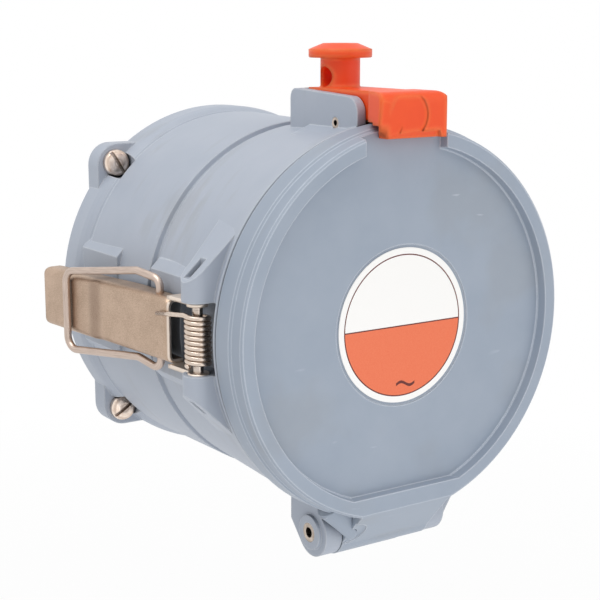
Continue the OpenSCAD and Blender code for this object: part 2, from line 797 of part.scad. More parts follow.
// Tapered finger from the rear band down to the left end of the web.
module lid_finger() {
    top = [-knuckle_w / 2 - 10.7, -lid_back_h - 5, -lid_r + 7.3];
    tip = [-knuckle_w / 2 + 0.8, -lid_back_h - 5, hinge_z + 0.8];
    way = tip - top;
    translate(top) rotate([0, acos(way[2] / norm(way)), atan2(way[1], way[0])])
        cylinder(h = norm(way), r1 = 3.4, r2 = 1.3);
}

module lid() {
    recess_r = lid_front_r - lid_rim_w;
    color(body_colour) difference() {
        union() {
            difference() {
                lid_turning();
                // Flat lower edge of the front rim, in line with the web
                side_outline(2 * hinge_out) polygon([
                    [lid_front_h + 1, -rim_flat + 1.2],
                    [lid_front_h, -rim_flat],
                    [hinge_h + knuckle_r * 0.55, hinge_z - knuckle_r * 0.835],
                    [lid_front_h + 1, hinge_z - knuckle_r]
                ]);
            }
            side_outline(knuckle_w) knuckle_outline();
            lid_finger();
        }
        // Stepped round hollow in the web, beside the finger
        for (i = [0, 1]) web_face() translate([-knuckle_w / 2, 0, -(i + 1) * web_hollow_d])
            cylinder(h = 10, r = web_hollow_r * (1 - 0.55 * i));
        // Shallow cut under the right end of the knuckle
        translate([knuckle_w / 2 - knuckle_cut_w, -lid_back_h, hinge_z - knuckle_r - 1])
            cube([knuckle_cut_w + 1, lid_back_h, knuckle_cut_d + 1]);
        // Round recess with a flat lower edge
        intersection() {
            forward(floor_h) rotate_extrude($fn = 160) polygon([
                [0, 0],
                [recess_r - 0.8, 0],
                [recess_r - 0.4, 0.4],
                [recess_r, recess_d],
                [recess_r + 1, recess_d + 1],
                [0, recess_d + 1]
            ]);
            translate([-lid_r, -lid_front_h - 2, -recess_flat])
                cube([2 * lid_r, recess_d + 3, 2 * lid_r]);
        }
        // Notch for the hook
        translate([-notch_left, -lid_front_h - 1, recess_r * 0.6])
            cube([notch_left + notch_right, recess_d + 1, lid_r]);
        // Seat for the rating label
        forward(floor_h - label_seat_d) cylinder(h = recess_d, r = label_r + label_margin);
        across(hinge_h, hinge_z)
            cylinder(h = 2 * hinge_out, r = hinge_pin_r + pin_clear, center = true);
    }
}

module rating_label() {
    color(label_colour) forward(floor_h - label_seat_d) cylinder(h = label_t, r = label_r);
}

// A hollow roll pin along x.
module roll_pin(length, r, hole_r) {
    difference() {
        cylinder(h = length, r = r, center = true);
        cylinder(h = length + 1, r = hole_r, center = true);
    }
}

module lid_hinge_pin() {
    color(steel_colour) across(hinge_h, hinge_z)
        roll_pin(2 * (hinge_out + hinge_boss_t), hinge_pin_r, hinge_pin_hole_r);
}

module pawl_pin() {
    color(steel_colour) across(pawl_h, pawl_z)
        roll_pin(2 * (slot_half_w + bracket_t), pawl_pin_r, pawl_pin_hole_r);
}

// Thumb plate, eye and arm of the pawl, between the bracket's ears.
module pawl_arm() {
    plate_h = bracket_h + bracket_wall + thumb_gap;
    under_z = lid_r + hook_clear;
    side_outline(2 * pawl_half_w) {
        polygon([
            [plate_h, thumb_z - thumb_plate_t],
            [plate_h, thumb_z],
            [hook_h + 2, thumb_z],
            [hook_h + 2, under_z],
            [pawl_h + pawl_eye_r, under_z],
            [pawl_h, pawl_z],
            [pawl_h - pawl_eye_r * 0.8, pawl_z + pawl_eye_r * 0.6]
        ]);
        translate([pawl_h, pawl_z]) circle(pawl_eye_r);
    }
}

// Post and chamfered head of the knob, with the padlock hole through the post.
module pawl_knob() {
    translate([0, -knob_h, thumb_z]) difference() {
        rotate_extrude() polygon([
            [0, -1],
            [knob_post_r + 0.6, -1],
            [knob_post_r + 0.6, 0],
            [knob_post_r, 0.6],
            [knob_post_r, knob_post_t],
            [knob_head_r - 0.4, knob_post_t],
            [knob_head_r, knob_post_t + 0.4],
            [knob_head_r, knob_post_t + knob_head_t * 0.58],
            [knob_head_r * 0.55, knob_post_t + knob_head_t],
            [knob_head_r * 0.28, knob_post_t + knob_head_t],
            [knob_head_r * 0.25, knob_post_t + knob_head_t - 1],
            [0, knob_post_t + knob_head_t - 1]
        ]);
        translate([0, 0, padlock_r + 0.2]) rotate([0, 90, 0])
            cylinder(h = 4 * knob_post_r, r = padlock_r, center = true);
    }
}

// Broad hook that flares from the arm and drops its lip in front of the lid.
module pawl_hook() {
    top_z = lid_r + hook_top;
    lip_z = lid_r - hook_overlap;
    mid_z = (top_z + lip_z) / 2;
    width = hook_left + hook_right;
    difference() {
        intersection() {
            linear_extrude(top_z) polygon([
                [-pawl_half_w, -hook_h],
                [-hook_left + 2.7, -hook_h - 5.5],
                [-hook_left, -hook_front_h + 1],
                [-hook_left + 0.8, -hook_front_h],
                [hook_right - 1.5, -hook_front_h],
                [hook_right, -hook_front_h + 1.5],
                [hook_right, -hook_h - 5],
                [pawl_half_w, -hook_h]
            ]);
            forward(hook_h) linear_extrude(hook_front_h - hook_h)
                round_top(-hook_left, hook_right, lip_z, top_z, 2, 5);
            translate([(hook_right - hook_left) / 2, 0, 0]) side_outline(width + 2)
                round_top(hook_h, hook_front_h, lip_z, top_z, 1, 4);
        }
        // Room over the lid's rim, behind the lip
        translate([-hook_left - 1, -floor_h - hook_clear, lip_z - 1])
            cube([width + 2, floor_h, lid_r + hook_clear - lip_z + 1]);
        // Lower rear corner of the lip's left end, cut back to a tip
        translate([-hook_left - 1, -hook_front_h + 2, lip_z - 1])
            cube([5.7, hook_front_h, lid_r - lip_z + 0.7]);
        // Round step in the left of the front face
        translate([-hook_left + 13.7, 0, mid_z]) forward(hook_front_h - hook_dish_d)
            cylinder(h = 4, r = hook_dish_r);
        // Slanted left part of the face, below a crease that runs down to the right
        translate([-hook_left + 5.3, -hook_front_h, mid_z + 4.7]) rotate([0, 26, 0]) rotate([9, 0, 0])
            translate([-30, -10, -30]) cube([39, 10, 30]);
        // Scooped lower front edge that rises from the left tip
        translate([0, -hook_front_h + 2.6, lip_z - 0.3]) rotate([115, 0, 0])
            linear_extrude(8) polygon([
                [-hook_left + 1.4, -6],
                [-hook_left + 1.9, 0.7],
                [-hook_left + 7.6, 2.6],
                [-hook_left + 16.2, 3.4],
                [hook_right - 4.5, 3.7],
                [hook_right - 2, -6]
            ]);
    }
}

module pawl() {
    color(pawl_colour) difference() {
        union() {
            pawl_arm();
            pawl_knob();
            pawl_hook();
        }
        across(pawl_h, pawl_z)
            cylinder(h = 4 * slot_half_w, r = pawl_pin_r + pin_clear, center = true);
        // Slot for the return spring round the pin
        translate([-pawl_spring_half - 0.4, -pawl_h - pawl_eye_r - 1, pawl_z - pawl_eye_r - 1])
            cube([2 * pawl_spring_half + 0.8, 2 * pawl_eye_r + 2, 2 * pawl_eye_r + 1.4]);
    }
}

// A round wire swept along a list of points, closed at both ends.
module swept_wire(points, r) {
    count = len(points);
    function unit(v) = v / norm(v);
    tangents = [for (i = [0 : count - 1])
        unit(points[min(i + 1, count - 1)] - points[max(i - 1, 0)])];
    rings = [for (i = [0 : count - 1])
        let (side = unit(cross(tangents[i], [0.0871, 0.0436, 0.9952])),
             up = cross(side, tangents[i]))
        for (k = [0 : wire_sides - 1])
            points[i] + r * (cos(360 * k / wire_sides) * side + sin(360 * k / wire_sides) * up)];
    sides = [for (i = [0 : count - 2], k = [0 : wire_sides - 1])
        let (next = (k + 1) % wire_sides)
        [i * wire_sides + k, i * wire_sides + next,
         (i + 1) * wire_sides + next, (i + 1) * wire_sides + k]];
    first = [for (k = [wire_sides - 1 : -1 : 0]) k];
    last = [for (k = [0 : wire_sides - 1]) (count - 1) * wire_sides + k];
    polyhedron(rings, concat([first], sides, [last]));
}

// Points of a coil about z that climbs clockwise from one height to another.
function coil_points(r, turns, z0, z1, start) =
    [for (i = [0 : turns * wire_steps])
        let (a = start - 360 * i / wire_steps)
        [r * cos(a), r * sin(a), z0 + (z1 - z0) * i / (turns * wire_steps)]];

module pawl_spring() {
    coil_half = pawl_spring_half - pawl_spring_wire_r;
    coil_r = pawl_pin_r + pawl_spring_gap + pawl_spring_wire_r;
    color(steel_colour) across(pawl_h, pawl_z)
        swept_wire(coil_points(coil_r, pawl_spring_turns, -coil_half, coil_half, 0),
                   pawl_spring_wire_r);
}

// Puts a left-hand lever part in place: local +y runs from the pin to the free end.
module at_left_lever() {
    translate([-lever_x, -lever_h, latch_up]) rotate([0, 0, lever_lean]) children();
}

// Folded sheet lever: face with a step, two side walls with eyes.
module lever() {
    step_0 = lever_step_s - lever_step_len / 2;
    step_1 = lever_step_s + lever_step_len / 2;
    tail_face = lever_face + lever_step;
    difference() {
        union() {
            linear_extrude(2 * lever_half_h, center = true) polygon([
                [-lever_face, lever_front],
                [-lever_face, step_0],
                [-tail_face, step_1],
                [-tail_face, lever_len],
                [-tail_face + lever_t, lever_len],
                [-tail_face + lever_t, step_1],
                [-lever_face + lever_t, step_0],
                [-lever_face + lever_t, lever_front]
            ]);
            for (side = [0, 1]) mirror([0, 0, side])
                translate([0, 0, lever_half_h - lever_t]) linear_extrude(lever_t) {
                    polygon([
                        [-lever_face, 0],
                        [-lever_face, step_0],
                        [-tail_face, step_1],
                        [-tail_face, lever_len],
                        [lever_tail_wall - lever_corner_r, lever_len],
                        [lever_tail_wall, lever_len - lever_corner_r],
                        [lever_wall, bail_pivot_s + 20],
                        [lever_neck_wall, lever_front],
                        [lever_eye_r * 0.8, 0]
                    ]);
                    circle(lever_eye_r);
                    translate([bail_pivot_in, bail_pivot_s]) circle(bail_wire_r + 2);
                    translate([lever_tail_wall - lever_corner_r, lever_len - lever_corner_r])
                        circle(lever_corner_r);
                }
        }
        cylinder(h = 4 * lever_half_h, r = lever_pin_r + pin_clear, center = true);
        translate([bail_pivot_in, bail_pivot_s, 0])
            cylinder(h = 4 * lever_half_h, r = bail_wire_r + pin_clear, center = true);
    }
}

// A round wire bent in its own plane through a list of corners, each with its bend radius,
// and a hair thicker at each bend's ends.
module bent_wire(corners, bends, wire_r) {
    count = len(corners);
    grip = 0.3;
    function heading(i) = let (d = corners[i + 1] - corners[i]) atan2(d[1], d[0]);
    function turn(i) = let (t = heading(i) - heading(i - 1))
        t > 180 ? t - 360 : t < -180 ? t + 360 : t;
    function trim(i) = i == 0 || i == count - 1 ? 0 : bends[i] * tan(abs(turn(i)) / 2);
    for (i = [0 : count - 2]) {
        span = norm(corners[i + 1] - corners[i]);
        first = trim(i) + (i == 0 ? 0 : grip / 2);
        last = span - trim(i + 1) - (i == count - 2 ? 0 : grip / 2);
        bend_ends = concat(i == 0 ? [] : [trim(i)], i == count - 2 ? [] : [span - trim(i + 1)]);
        translate(corners[i]) rotate([0, 0, heading(i)]) {
            translate([first, 0, 0]) rotate([0, 90, 0]) cylinder(h = last - first, r = wire_r, $fn = 32);
            for (t = bend_ends) translate([t - grip, 0, 0]) rotate([0, 90, 0])
                cylinder(h = 2 * grip, r = wire_r + 0.06, $fn = 32);
        }
    }
    for (i = [1 : count - 2]) {
        side = turn(i) > 0 ? 1 : -1;
        translate(corners[i]) rotate([0, 0, heading(i - 1)])
            translate([-trim(i), side * bends[i], 0])
            rotate([0, 0, side > 0 ? -90 : 90 + turn(i)])
            rotate_extrude(angle = abs(turn(i)), $fn = 48) translate([bends[i], 0])
            circle(wire_r, $fn = 32);
    }
}

// Wire bail in its parked place on the lever, with in-turned ends in the eyes.
module bail() {
    end_z = lever_half_h - lever_t - 1.5;
    eye_r = bail_eye_bend_r;
    leg_r = bail_bend_r;
    translate([bail_pivot_in, bail_pivot_s, 0]) rotate([0, 0, bail_angle])
        rotate([90, 0, 90]) bent_wire([
            [0, end_z],
            [0, bail_eye_half],
            [bail_knee, bail_knee_half + bail_skew],
            [bail_len, bail_end_half - bail_skew],
            [bail_len, -bail_end_half - bail_skew],
            [bail_knee, -bail_knee_half + bail_skew],
            [0, -bail_eye_half],
            [0, -end_z]
        ], [0, eye_r, leg_r, leg_r, leg_r, leg_r, eye_r, 0], bail_wire_r);
}

// Torsion spring round the lever pin, with one leg on the lever's face.
module lever_spring() {
    coil_0 = -lever_half_h + lever_t + spring_wire_r + 0.2;
    coil_1 = coil_0 + spring_turns * spring_wire_r * 2.05;
    leg_z = coil_1 + 0.3;
    leg_x = -lever_face - spring_wire_r - 0.05;
    coil = coil_points(spring_r, spring_turns, coil_0, coil_1, 180);
    leg = [
        [-spring_r, 3, leg_z],
        [leg_x - 0.6, lever_front - 4, leg_z - spring_leg_drop * 0.5],
        [leg_x, lever_front + 6, leg_z - spring_leg_drop]
    ];
    swept_wire(concat(coil, leg), spring_wire_r);
}

module lever_pin() {
    cylinder(h = 2 * lever_pin_half, r = lever_pin_r, center = true);
}

module left_lever() {
    color(steel_colour) at_left_lever() lever();
}

module right_lever() {
    color(steel_colour) mirror([1, 0, 0]) at_left_lever() lever();
}

module left_bail() {
    color(steel_colour) at_left_lever() bail();
}

module right_bail() {
    color(steel_colour) mirror([1, 0, 0]) at_left_lever() bail();
}

module left_lever_pin() {
    color(steel_colour) at_left_lever() lever_pin();
}

module right_lever_pin() {
    color(steel_colour) mirror([1, 0, 0]) at_left_lever() lever_pin();
}

module left_lever_spring() {
    color(steel_colour) at_left_lever() lever_spring();
}

module right_lever_spring() {
    color(steel_colour) mirror([1, 0, 0]) at_left_lever() lever_spring();
}

// Puts a contact on the contact circle at a turn about the axis.
module at_contact(turn) {
    rotate([0, -turn, 0]) translate([contact_circle_r, 0, 0]) children();
}

// Holes through the insulator for all five sleeves, between two forward distances.
module sleeve_holes(h0, h1) {
    for (turn = contact_turns) at_contact(turn) forward(h0)
        cylinder(h = h1 - h0, r = phase_sleeve_r + sleeve_clear);
    at_contact(earth_turn) forward(h0) cylinder(h = h1 - h0, r = earth_sleeve_r + sleeve_clear);
    forward(h0) cylinder(h = h1 - h0, r = pilot_sleeve_r + sleeve_clear);
}

// Moulded foot of the insulator, screwed to the shelf.
module insulator_foot() {
    color(insulator_colour) difference() {
        forward(shelf_front_h) cylinder(h = foot_t, r = bore_r - foot_clear, $fn = 128);
        sleeve_holes(shelf_front_h - 1, foot_front_h + 1);
        for (turn = foot_screw_turns) rotate([0, -turn, 0]) translate([foot_screw_circle_r, 0, 0])
            forward(shelf_front_h - 1) cylinder(h = foot_t + 2, r = foot_screw_r + pin_clear, $fn = 32);
    }
}

// Moulded boss of the insulator in front of the foot, with a keyway for the plug.
module insulator_boss() {
    color(insulator_colour) difference() {
        forward(foot_front_h) rotate_extrude($fn = 128) polygon([
            [0, 0],
            [boss_r, 0],
            [boss_r, boss_len - 1],
            [boss_r - 1, boss_len],
            [0, boss_len]
        ]);
        sleeve_holes(foot_front_h - 1, boss_front_h + 1);
        translate([-key_half_w, -boss_front_h - 1, -boss_r - 1])
            cube([2 * key_half_w, boss_len + 2, key_d + 1]);
    }
}

module insulator_screws() {
    head_r = 2 * foot_screw_r;
    head_t = 1.3 * foot_screw_r;
    color(steel_colour)
        for (turn = foot_screw_turns) rotate([0, -turn, 0]) translate([foot_screw_circle_r, 0, 0])
            difference() {
                union() {
                    forward(foot_front_h) cylinder(h = head_t, r = head_r, $fn = 32);
                    forward(shelf_h) cylinder(h = shelf_t + foot_t, r = foot_screw_r, $fn = 32);
                }
                forward(foot_front_h + head_t * 0.5) translate([-head_r - 1, -0.5, 0])
                    cube([2 * head_r + 2, 1, head_t]);
            }
}

// Turned contact: sleeve in the insulator, shoulder behind it, wire terminal at the rear.
module contact(sleeve_r, sleeve_bore_r) {
    terminal_r = sleeve_r + terminal_extra;
    sleeve_h = boss_front_h - sleeve_set_back;
    difference() {
        union() {
            forward(shelf_front_h) cylinder(h = sleeve_h - shelf_front_h, r = sleeve_r);
            forward(shelf_front_h - terminal_len) cylinder(h = terminal_len, r = terminal_r);
        }
        forward(sleeve_h - sleeve_bore_d) cylinder(h = sleeve_bore_d + 1, r = sleeve_bore_r);
        forward(shelf_front_h - terminal_len - 1)
            cylinder(h = wire_hole_d + 1, r = min(wire_hole_r, sleeve_r - 1));
        // Threaded holes for the clamp screws
        at_terminal_screws() cylinder(h = terminal_r + 1, r = terminal_screw_hole(sleeve_r), $fn = 32);
    }
}

function terminal_screw_hole(sleeve_r) = min(terminal_screw_r, sleeve_r * 0.42) + pin_clear;

// Two clamp screw places along a terminal, on the side away from the axis.
module at_terminal_screws() {
    first_h = shelf_front_h - terminal_len + 6;
    for (i = [0, 1])
        translate([0, -first_h - i * terminal_screw_gap, 0]) rotate([0, 90, 0]) children();
}

module phase_contact_1() {
    color(brass_colour) at_contact(contact_turns[0]) contact(phase_sleeve_r, phase_bore_r);
}

module phase_contact_2() {
    color(brass_colour) at_contact(contact_turns[1]) contact(phase_sleeve_r, phase_bore_r);
}

module phase_contact_3() {
    color(brass_colour) at_contact(contact_turns[2]) contact(phase_sleeve_r, phase_bore_r);
}

module earth_contact() {
    color(brass_colour) at_contact(earth_turn) contact(earth_sleeve_r, earth_bore_r);
}

module pilot_contact() {
    color(brass_colour) contact(pilot_sleeve_r, pilot_bore_r);
}

// Slotted clamp screws of the four main terminals.
module terminal_screws() {
    color(steel_colour) {
        for (turn = contact_turns) at_contact(turn) clamp_screws(phase_sleeve_r);
        at_contact(earth_turn) clamp_screws(earth_sleeve_r);
    }
}

module clamp_screws(sleeve_r) {
    terminal_r = sleeve_r + terminal_extra;
    screw_in = min(wire_hole_r, sleeve_r - 1) - 1;
    at_terminal_screws() difference() {
        translate([0, 0, screw_in])
            cylinder(h = terminal_r - screw_in + 2, r = terminal_screw_hole(sleeve_r) - pin_clear, $fn = 32);
        translate([-terminal_screw_r - 1, -0.5, terminal_r + 0.8])
            cube([2 * terminal_screw_r + 2, 1, 2]);
    }
}

housing();
mouth_collar();
flange_screws();
flange_seal();
mouth_seal();
lid();
rating_label();
lid_hinge_pin();
pawl();
pawl_pin();
pawl_spring();
left_lever();
right_lever();
left_bail();
right_bail();
left_lever_pin();
right_lever_pin();
left_lever_spring();
right_lever_spring();
insulator_foot();
insulator_boss();
insulator_screws();
phase_contact_1();
phase_contact_2();
phase_contact_3();
earth_contact();
pilot_contact();
terminal_screws();
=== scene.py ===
import bmesh
import bpy
import numpy as np
from mathutils import Matrix, Vector


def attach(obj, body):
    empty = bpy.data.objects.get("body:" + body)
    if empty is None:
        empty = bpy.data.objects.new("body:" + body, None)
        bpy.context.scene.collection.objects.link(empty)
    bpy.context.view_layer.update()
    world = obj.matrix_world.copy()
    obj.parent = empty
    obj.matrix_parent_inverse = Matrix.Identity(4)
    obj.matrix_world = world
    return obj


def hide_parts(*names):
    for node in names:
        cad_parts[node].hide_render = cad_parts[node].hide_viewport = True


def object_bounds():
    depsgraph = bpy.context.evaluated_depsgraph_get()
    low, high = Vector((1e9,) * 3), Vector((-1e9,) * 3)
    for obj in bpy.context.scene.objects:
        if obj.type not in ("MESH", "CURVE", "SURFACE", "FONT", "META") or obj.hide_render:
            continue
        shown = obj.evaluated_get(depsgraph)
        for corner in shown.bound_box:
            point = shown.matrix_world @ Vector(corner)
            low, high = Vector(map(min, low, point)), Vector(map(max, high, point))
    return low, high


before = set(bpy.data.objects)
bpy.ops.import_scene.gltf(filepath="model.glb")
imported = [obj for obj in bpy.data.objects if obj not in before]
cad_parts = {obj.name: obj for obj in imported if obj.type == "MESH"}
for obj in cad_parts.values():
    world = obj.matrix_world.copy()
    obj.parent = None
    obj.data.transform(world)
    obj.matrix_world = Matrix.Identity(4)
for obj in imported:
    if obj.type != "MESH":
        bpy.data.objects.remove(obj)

cad_low, cad_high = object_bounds()

# Housing and mouth collar: the outlet's rear and front body, injection moulded in blue-grey glass-filled
# polyamide. Lugs and rear pads belong to the rear moulding, latch ears, pawl bracket and hinge ears to the
# front one. The mould leaves a fine even grain, soft edges and a satin gloss; handling leaves smears.


def linear(colour, alpha=1.0):
    """An sRGB hex colour as linear light: the standard curve, a short straight toe and then a 2.4 power."""
    parts = np.array([int(colour[i:i + 2], 16) for i in (1, 3, 5)]) / 255.0
    lit = np.where(parts <= 0.04045, parts / 12.92, ((parts + 0.055) / 1.055) ** 2.4)
    return (*lit.tolist(), alpha)


def add(tree, kind, inputs=None, **settings):
    """One shader node: its settings, then each input by name or number, as a value or as another node's
    output."""
    made = tree.nodes.new(kind)
    for name, value in settings.items():
        setattr(made, name, value)
    for name, value in (inputs or {}).items():
        if isinstance(value, bpy.types.NodeSocket):
            tree.links.new(value, made.inputs[name])
        else:
            made.inputs[name].default_value = value
    return made


def new_finish(name):
    """A new material with its tree and its main shader."""
    made = bpy.data.materials.new(name)
    made.use_nodes = True
    return made, made.node_tree, made.node_tree.nodes["Principled BSDF"]


def laid_finish(material):
    """A finished material's tree, its main shader and the output that now gives its base colour."""
    tree = material.node_tree
    shader = tree.nodes["Principled BSDF"]
    return tree, shader, shader.inputs["Base Color"].links[0].from_socket


def pocket_shade(tree):
    """The share of painted shade in pockets about 30 mm wide: none in the open, rising evenly to 0.9 as less
    and less of the sky over a point is free."""
    pocket = add(tree, "ShaderNodeAmbientOcclusion", {"Distance": 0.03}, samples=8)
    deep = add(tree, "ShaderNodeMapRange", {"Value": pocket.outputs["AO"], "From Min": 0.05,
                                            "From Max": 0.34, "To Min": 0.9, "To Max": 0.0})
    return deep.outputs["Result"]


def moulded_plastic(name, colour, dark, pale, smear, crevice_shade, roughness, grain_mm, soften):
    """Moulded plastic: slow mottling between two near tones, smears drawn out along the turning direction,
    sparse pale hairlines, paler worn edges that also carry a painted highlight, rounded by a soft radius,
    painted shade in crevices and pockets, and a bump of mould grain of a size in millimetres, drawn coarser
    than the real one so that it shows."""
    made, tree, shader = new_finish(name)
    place = add(tree, "ShaderNodeTexCoord").outputs["Object"]

    # Slow mottling, about 25 mm across, as cooled plastic shows
    cloud = add(tree, "ShaderNodeTexNoise", {"Vector": place, "Scale": 1000.0 / 25.0, "Detail": 4.0,
                                             "Roughness": 0.6})
    mottle = add(tree, "ShaderNodeValToRGB", {"Fac": cloud.outputs["Fac"]})
    for stop, position, tone in zip(mottle.color_ramp.elements, (0.3, 0.7), (dark, colour)):
        stop.position = position
        stop.color = linear(tone)

    # Smears of handling dirt, about 29 mm long and 6 mm wide, where a patch of about 55 mm lets them show
    drawn = add(tree, "ShaderNodeMapping", {"Vector": place, "Scale": (35.0, 170.0, 35.0)})
    streak = add(tree, "ShaderNodeTexNoise", {"Vector": drawn.outputs["Vector"], "Scale": 1.0,
                                              "Detail": 3.0})
    patch = add(tree, "ShaderNodeTexNoise", {"Vector": place, "Scale": 18.0, "Detail": 1.0})
    smeared = add(tree, "ShaderNodeMath", {0: streak.outputs["Fac"], 1: patch.outputs["Fac"]},
                  operation="MULTIPLY")
    smeared = add(tree, "ShaderNodeMapRange", {"Value": smeared.outputs["Value"], "From Min": 0.30,
                                               "From Max": 0.42, "To Max": 0.30})
    dirty = add(tree, "ShaderNodeMix", {0: smeared.outputs["Result"], 6: mottle.outputs["Color"],
                                        7: linear(smear)}, data_type="RGBA")

    # Hairline scuffs: a noise 17 mm by 4 mm by 1 mm, slanted and cut to its thin crests
    slanted = add(tree, "ShaderNodeMapping", {"Vector": place, "Rotation": (0.5, 0.3, 0.7),
                                              "Scale": (60.0, 900.0, 240.0)})
    hair = add(tree, "ShaderNodeTexNoise", {"Vector": slanted.outputs["Vector"], "Scale": 1.0,
                                            "Detail": 2.0})
    crest = add(tree, "ShaderNodeMapRange", {"Value": hair.outputs["Fac"], "From Min": 0.71,
                                             "From Max": 0.77, "To Max": 0.45})
    where = add(tree, "ShaderNodeMapRange", {"Value": patch.outputs["Fac"], "From Min": 0.52,
                                             "From Max": 0.7})
    hair = add(tree, "ShaderNodeMath", {0: crest.outputs["Result"], 1: where.outputs["Result"]},
               operation="MULTIPLY")
    scuffed = add(tree, "ShaderNodeMix", {0: hair.outputs["Value"], 6: dirty.outputs[2], 7: linear(pale)},
                  data_type="RGBA")

    # Worn edges with a painted highlight: paler where the rounded normal leaves the flat one
    geometry = add(tree, "ShaderNodeNewGeometry")
    rounded = add(tree, "ShaderNodeBevel", {"Radius": soften}, samples=6)
    same = add(tree, "ShaderNodeVectorMath", {0: geometry.outputs["Normal"], 1: rounded.outputs["Normal"]},
               operation="DOT_PRODUCT")
    edge = add(tree, "ShaderNodeMapRange", {"Value": same.outputs["Value"], "From Min": 0.997,
                                            "From Max": 0.955, "To Max": 0.6})
    worn_and_highlit = add(tree, "ShaderNodeMix", {0: edge.outputs["Result"], 6: scuffed.outputs[2], 7: linear(pale)},
               data_type="RGBA")

    # Painted shade: crevices within about 2 mm of another wall, and pockets, go darker inside
    nook = add(tree, "ShaderNodeAmbientOcclusion", {"Distance": 0.0022}, samples=8)
    near = add(tree, "ShaderNodeMapRange", {"Value": nook.outputs["AO"], "From Min": 0.12,
                                            "From Max": 0.45, "To Min": 0.75, "To Max": 0.0})
    shade = add(tree, "ShaderNodeMath", {0: near.outputs["Result"], 1: pocket_shade(tree)},
                operation="MAXIMUM")
    shaded = add(tree, "ShaderNodeMix", {0: shade.outputs["Value"], 6: worn_and_highlit.outputs[2], 7: linear(crevice_shade)},
                 data_type="RGBA")
    tree.links.new(shaded.outputs[2], shader.inputs["Base Color"])

    gloss = add(tree, "ShaderNodeMapRange", {"Value": cloud.outputs["Fac"], "To Min": roughness - 0.07,
                                             "To Max": roughness + 0.07})
    tree.links.new(gloss.outputs["Result"], shader.inputs["Roughness"])
    grain = add(tree, "ShaderNodeTexNoise", {"Vector": place, "Scale": 1000.0 / grain_mm, "Detail": 2.0})
    bump = add(tree, "ShaderNodeBump", {"Height": grain.outputs["Fac"], "Strength": 0.10,
                                        "Distance": 0.0002, "Normal": rounded.outputs["Normal"]})
    tree.links.new(bump.outputs["Normal"], shader.inputs["Normal"])
    shader.inputs["IOR"].default_value = 1.5
    shader.inputs["Specular IOR Level"].default_value = 0.4
    return made


def dress(material, *nodes):
    """Gives CAD nodes one material in their only slot."""
    for node in nodes:
        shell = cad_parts[node]
        shell.data.materials.clear()
        shell.data.materials.append(material)


body_painted_shade = "#2A2F38"
body_plastic = moulded_plastic("moulded_polyamide_blue_grey", colour="#ACB3BF", dark="#A5ADBA",
                               pale="#D6DBE2", smear="#97989A", crevice_shade=body_painted_shade, roughness=0.48,
                               grain_mm=0.9, soften=0.0009)

# The mouth's outer edge, 79.8 mm from the axis, carries a painted shadow line by the lid. The line is a band
# of that radius, and it sets in over half a millimetre of the depth.
shadow_line_r, shadow_line_half_w = 0.0798, 0.0009
shadow_full_y, shadow_none_y = -0.1362, -0.1357
tree, shader, clean = laid_finish(body_plastic)
parts = add(tree, "ShaderNodeSeparateXYZ", {"Vector": add(tree, "ShaderNodeTexCoord").outputs["Object"]})
across = add(tree, "ShaderNodeCombineXYZ", {"X": parts.outputs["X"], "Y": parts.outputs["Z"]})
radius = add(tree, "ShaderNodeVectorMath", {0: across.outputs["Vector"]}, operation="LENGTH")
outer = add(tree, "ShaderNodeMath", {0: radius.outputs["Value"], 1: shadow_line_r, 2: shadow_line_half_w},
            operation="COMPARE")
front = add(tree, "ShaderNodeMapRange", {"Value": parts.outputs["Y"], "From Min": shadow_full_y,
                                         "From Max": shadow_none_y, "To Min": 0.85, "To Max": 0.0})
line = add(tree, "ShaderNodeMath", {0: outer.outputs["Value"], 1: front.outputs["Result"]},
           operation="MULTIPLY")
lined = add(tree, "ShaderNodeMix", {0: line.outputs["Value"], 6: clean, 7: linear(body_painted_shade)},
            data_type="RGBA")
tree.links.new(lined.outputs[2], shader.inputs["Base Color"])
dress(body_plastic, "housing", "mouth_collar")

# Flange screws: slotted pan-head machine screws in stainless steel, one through each lug.
# Their heads were turned and then polished in a barrel, so they shine softly, with faint rings and fine
# random marks. The smaller screws inside have the same finish.


def bright_metal(name, colour, dark, roughness, grain, spread, soften):
    """Bare metal: a fine grain, given as marks per metre on each axis, drives roughness, tone and bump
    together, with a slow cloud of handling marks over it; soften is the radius of its worn edges."""
    made, tree, shader = new_finish(name)
    shader.inputs["Metallic"].default_value = 1.0
    place = add(tree, "ShaderNodeTexCoord").outputs["Object"]
    along = add(tree, "ShaderNodeMapping", {"Vector": place, "Scale": grain})
    lines = add(tree, "ShaderNodeTexNoise", {"Vector": along.outputs["Vector"], "Scale": 1.0,
                                             "Detail": 3.0})

    # Handling marks, about 11 mm across
    cloud = add(tree, "ShaderNodeTexNoise", {"Vector": place, "Scale": 90.0, "Detail": 3.0})
    both = add(tree, "ShaderNodeMix", {0: 0.4, 2: lines.outputs["Fac"], 3: cloud.outputs["Fac"]})
    tone = add(tree, "ShaderNodeValToRGB", {"Fac": both.outputs[0]})
    for stop, position, shade in zip(tone.color_ramp.elements, (0.4, 0.6), (dark, colour)):
        stop.position = position
        stop.color = linear(shade)

    # Painted shade: pockets go dark inside
    pocket_shaded = add(tree, "ShaderNodeMix", {0: pocket_shade(tree), 6: tone.outputs["Color"],
                                        7: linear("#1C1815")}, data_type="RGBA")
    tree.links.new(pocket_shaded.outputs[2], shader.inputs["Base Color"])
    gloss = add(tree, "ShaderNodeMapRange", {"Value": both.outputs[0], "From Min": 0.25, "From Max": 0.75,
                                             "To Min": roughness - spread, "To Max": roughness + spread})
    tree.links.new(gloss.outputs["Result"], shader.inputs["Roughness"])
    rounded = add(tree, "ShaderNodeBevel", {"Radius": soften}, samples=6)
    bump = add(tree, "ShaderNodeBump", {"Height": lines.outputs["Fac"], "Strength": 0.08,
                                        "Distance": 0.0001, "Normal": rounded.outputs["Normal"]})
    tree.links.new(bump.outputs["Normal"], shader.inputs["Normal"])
    return made


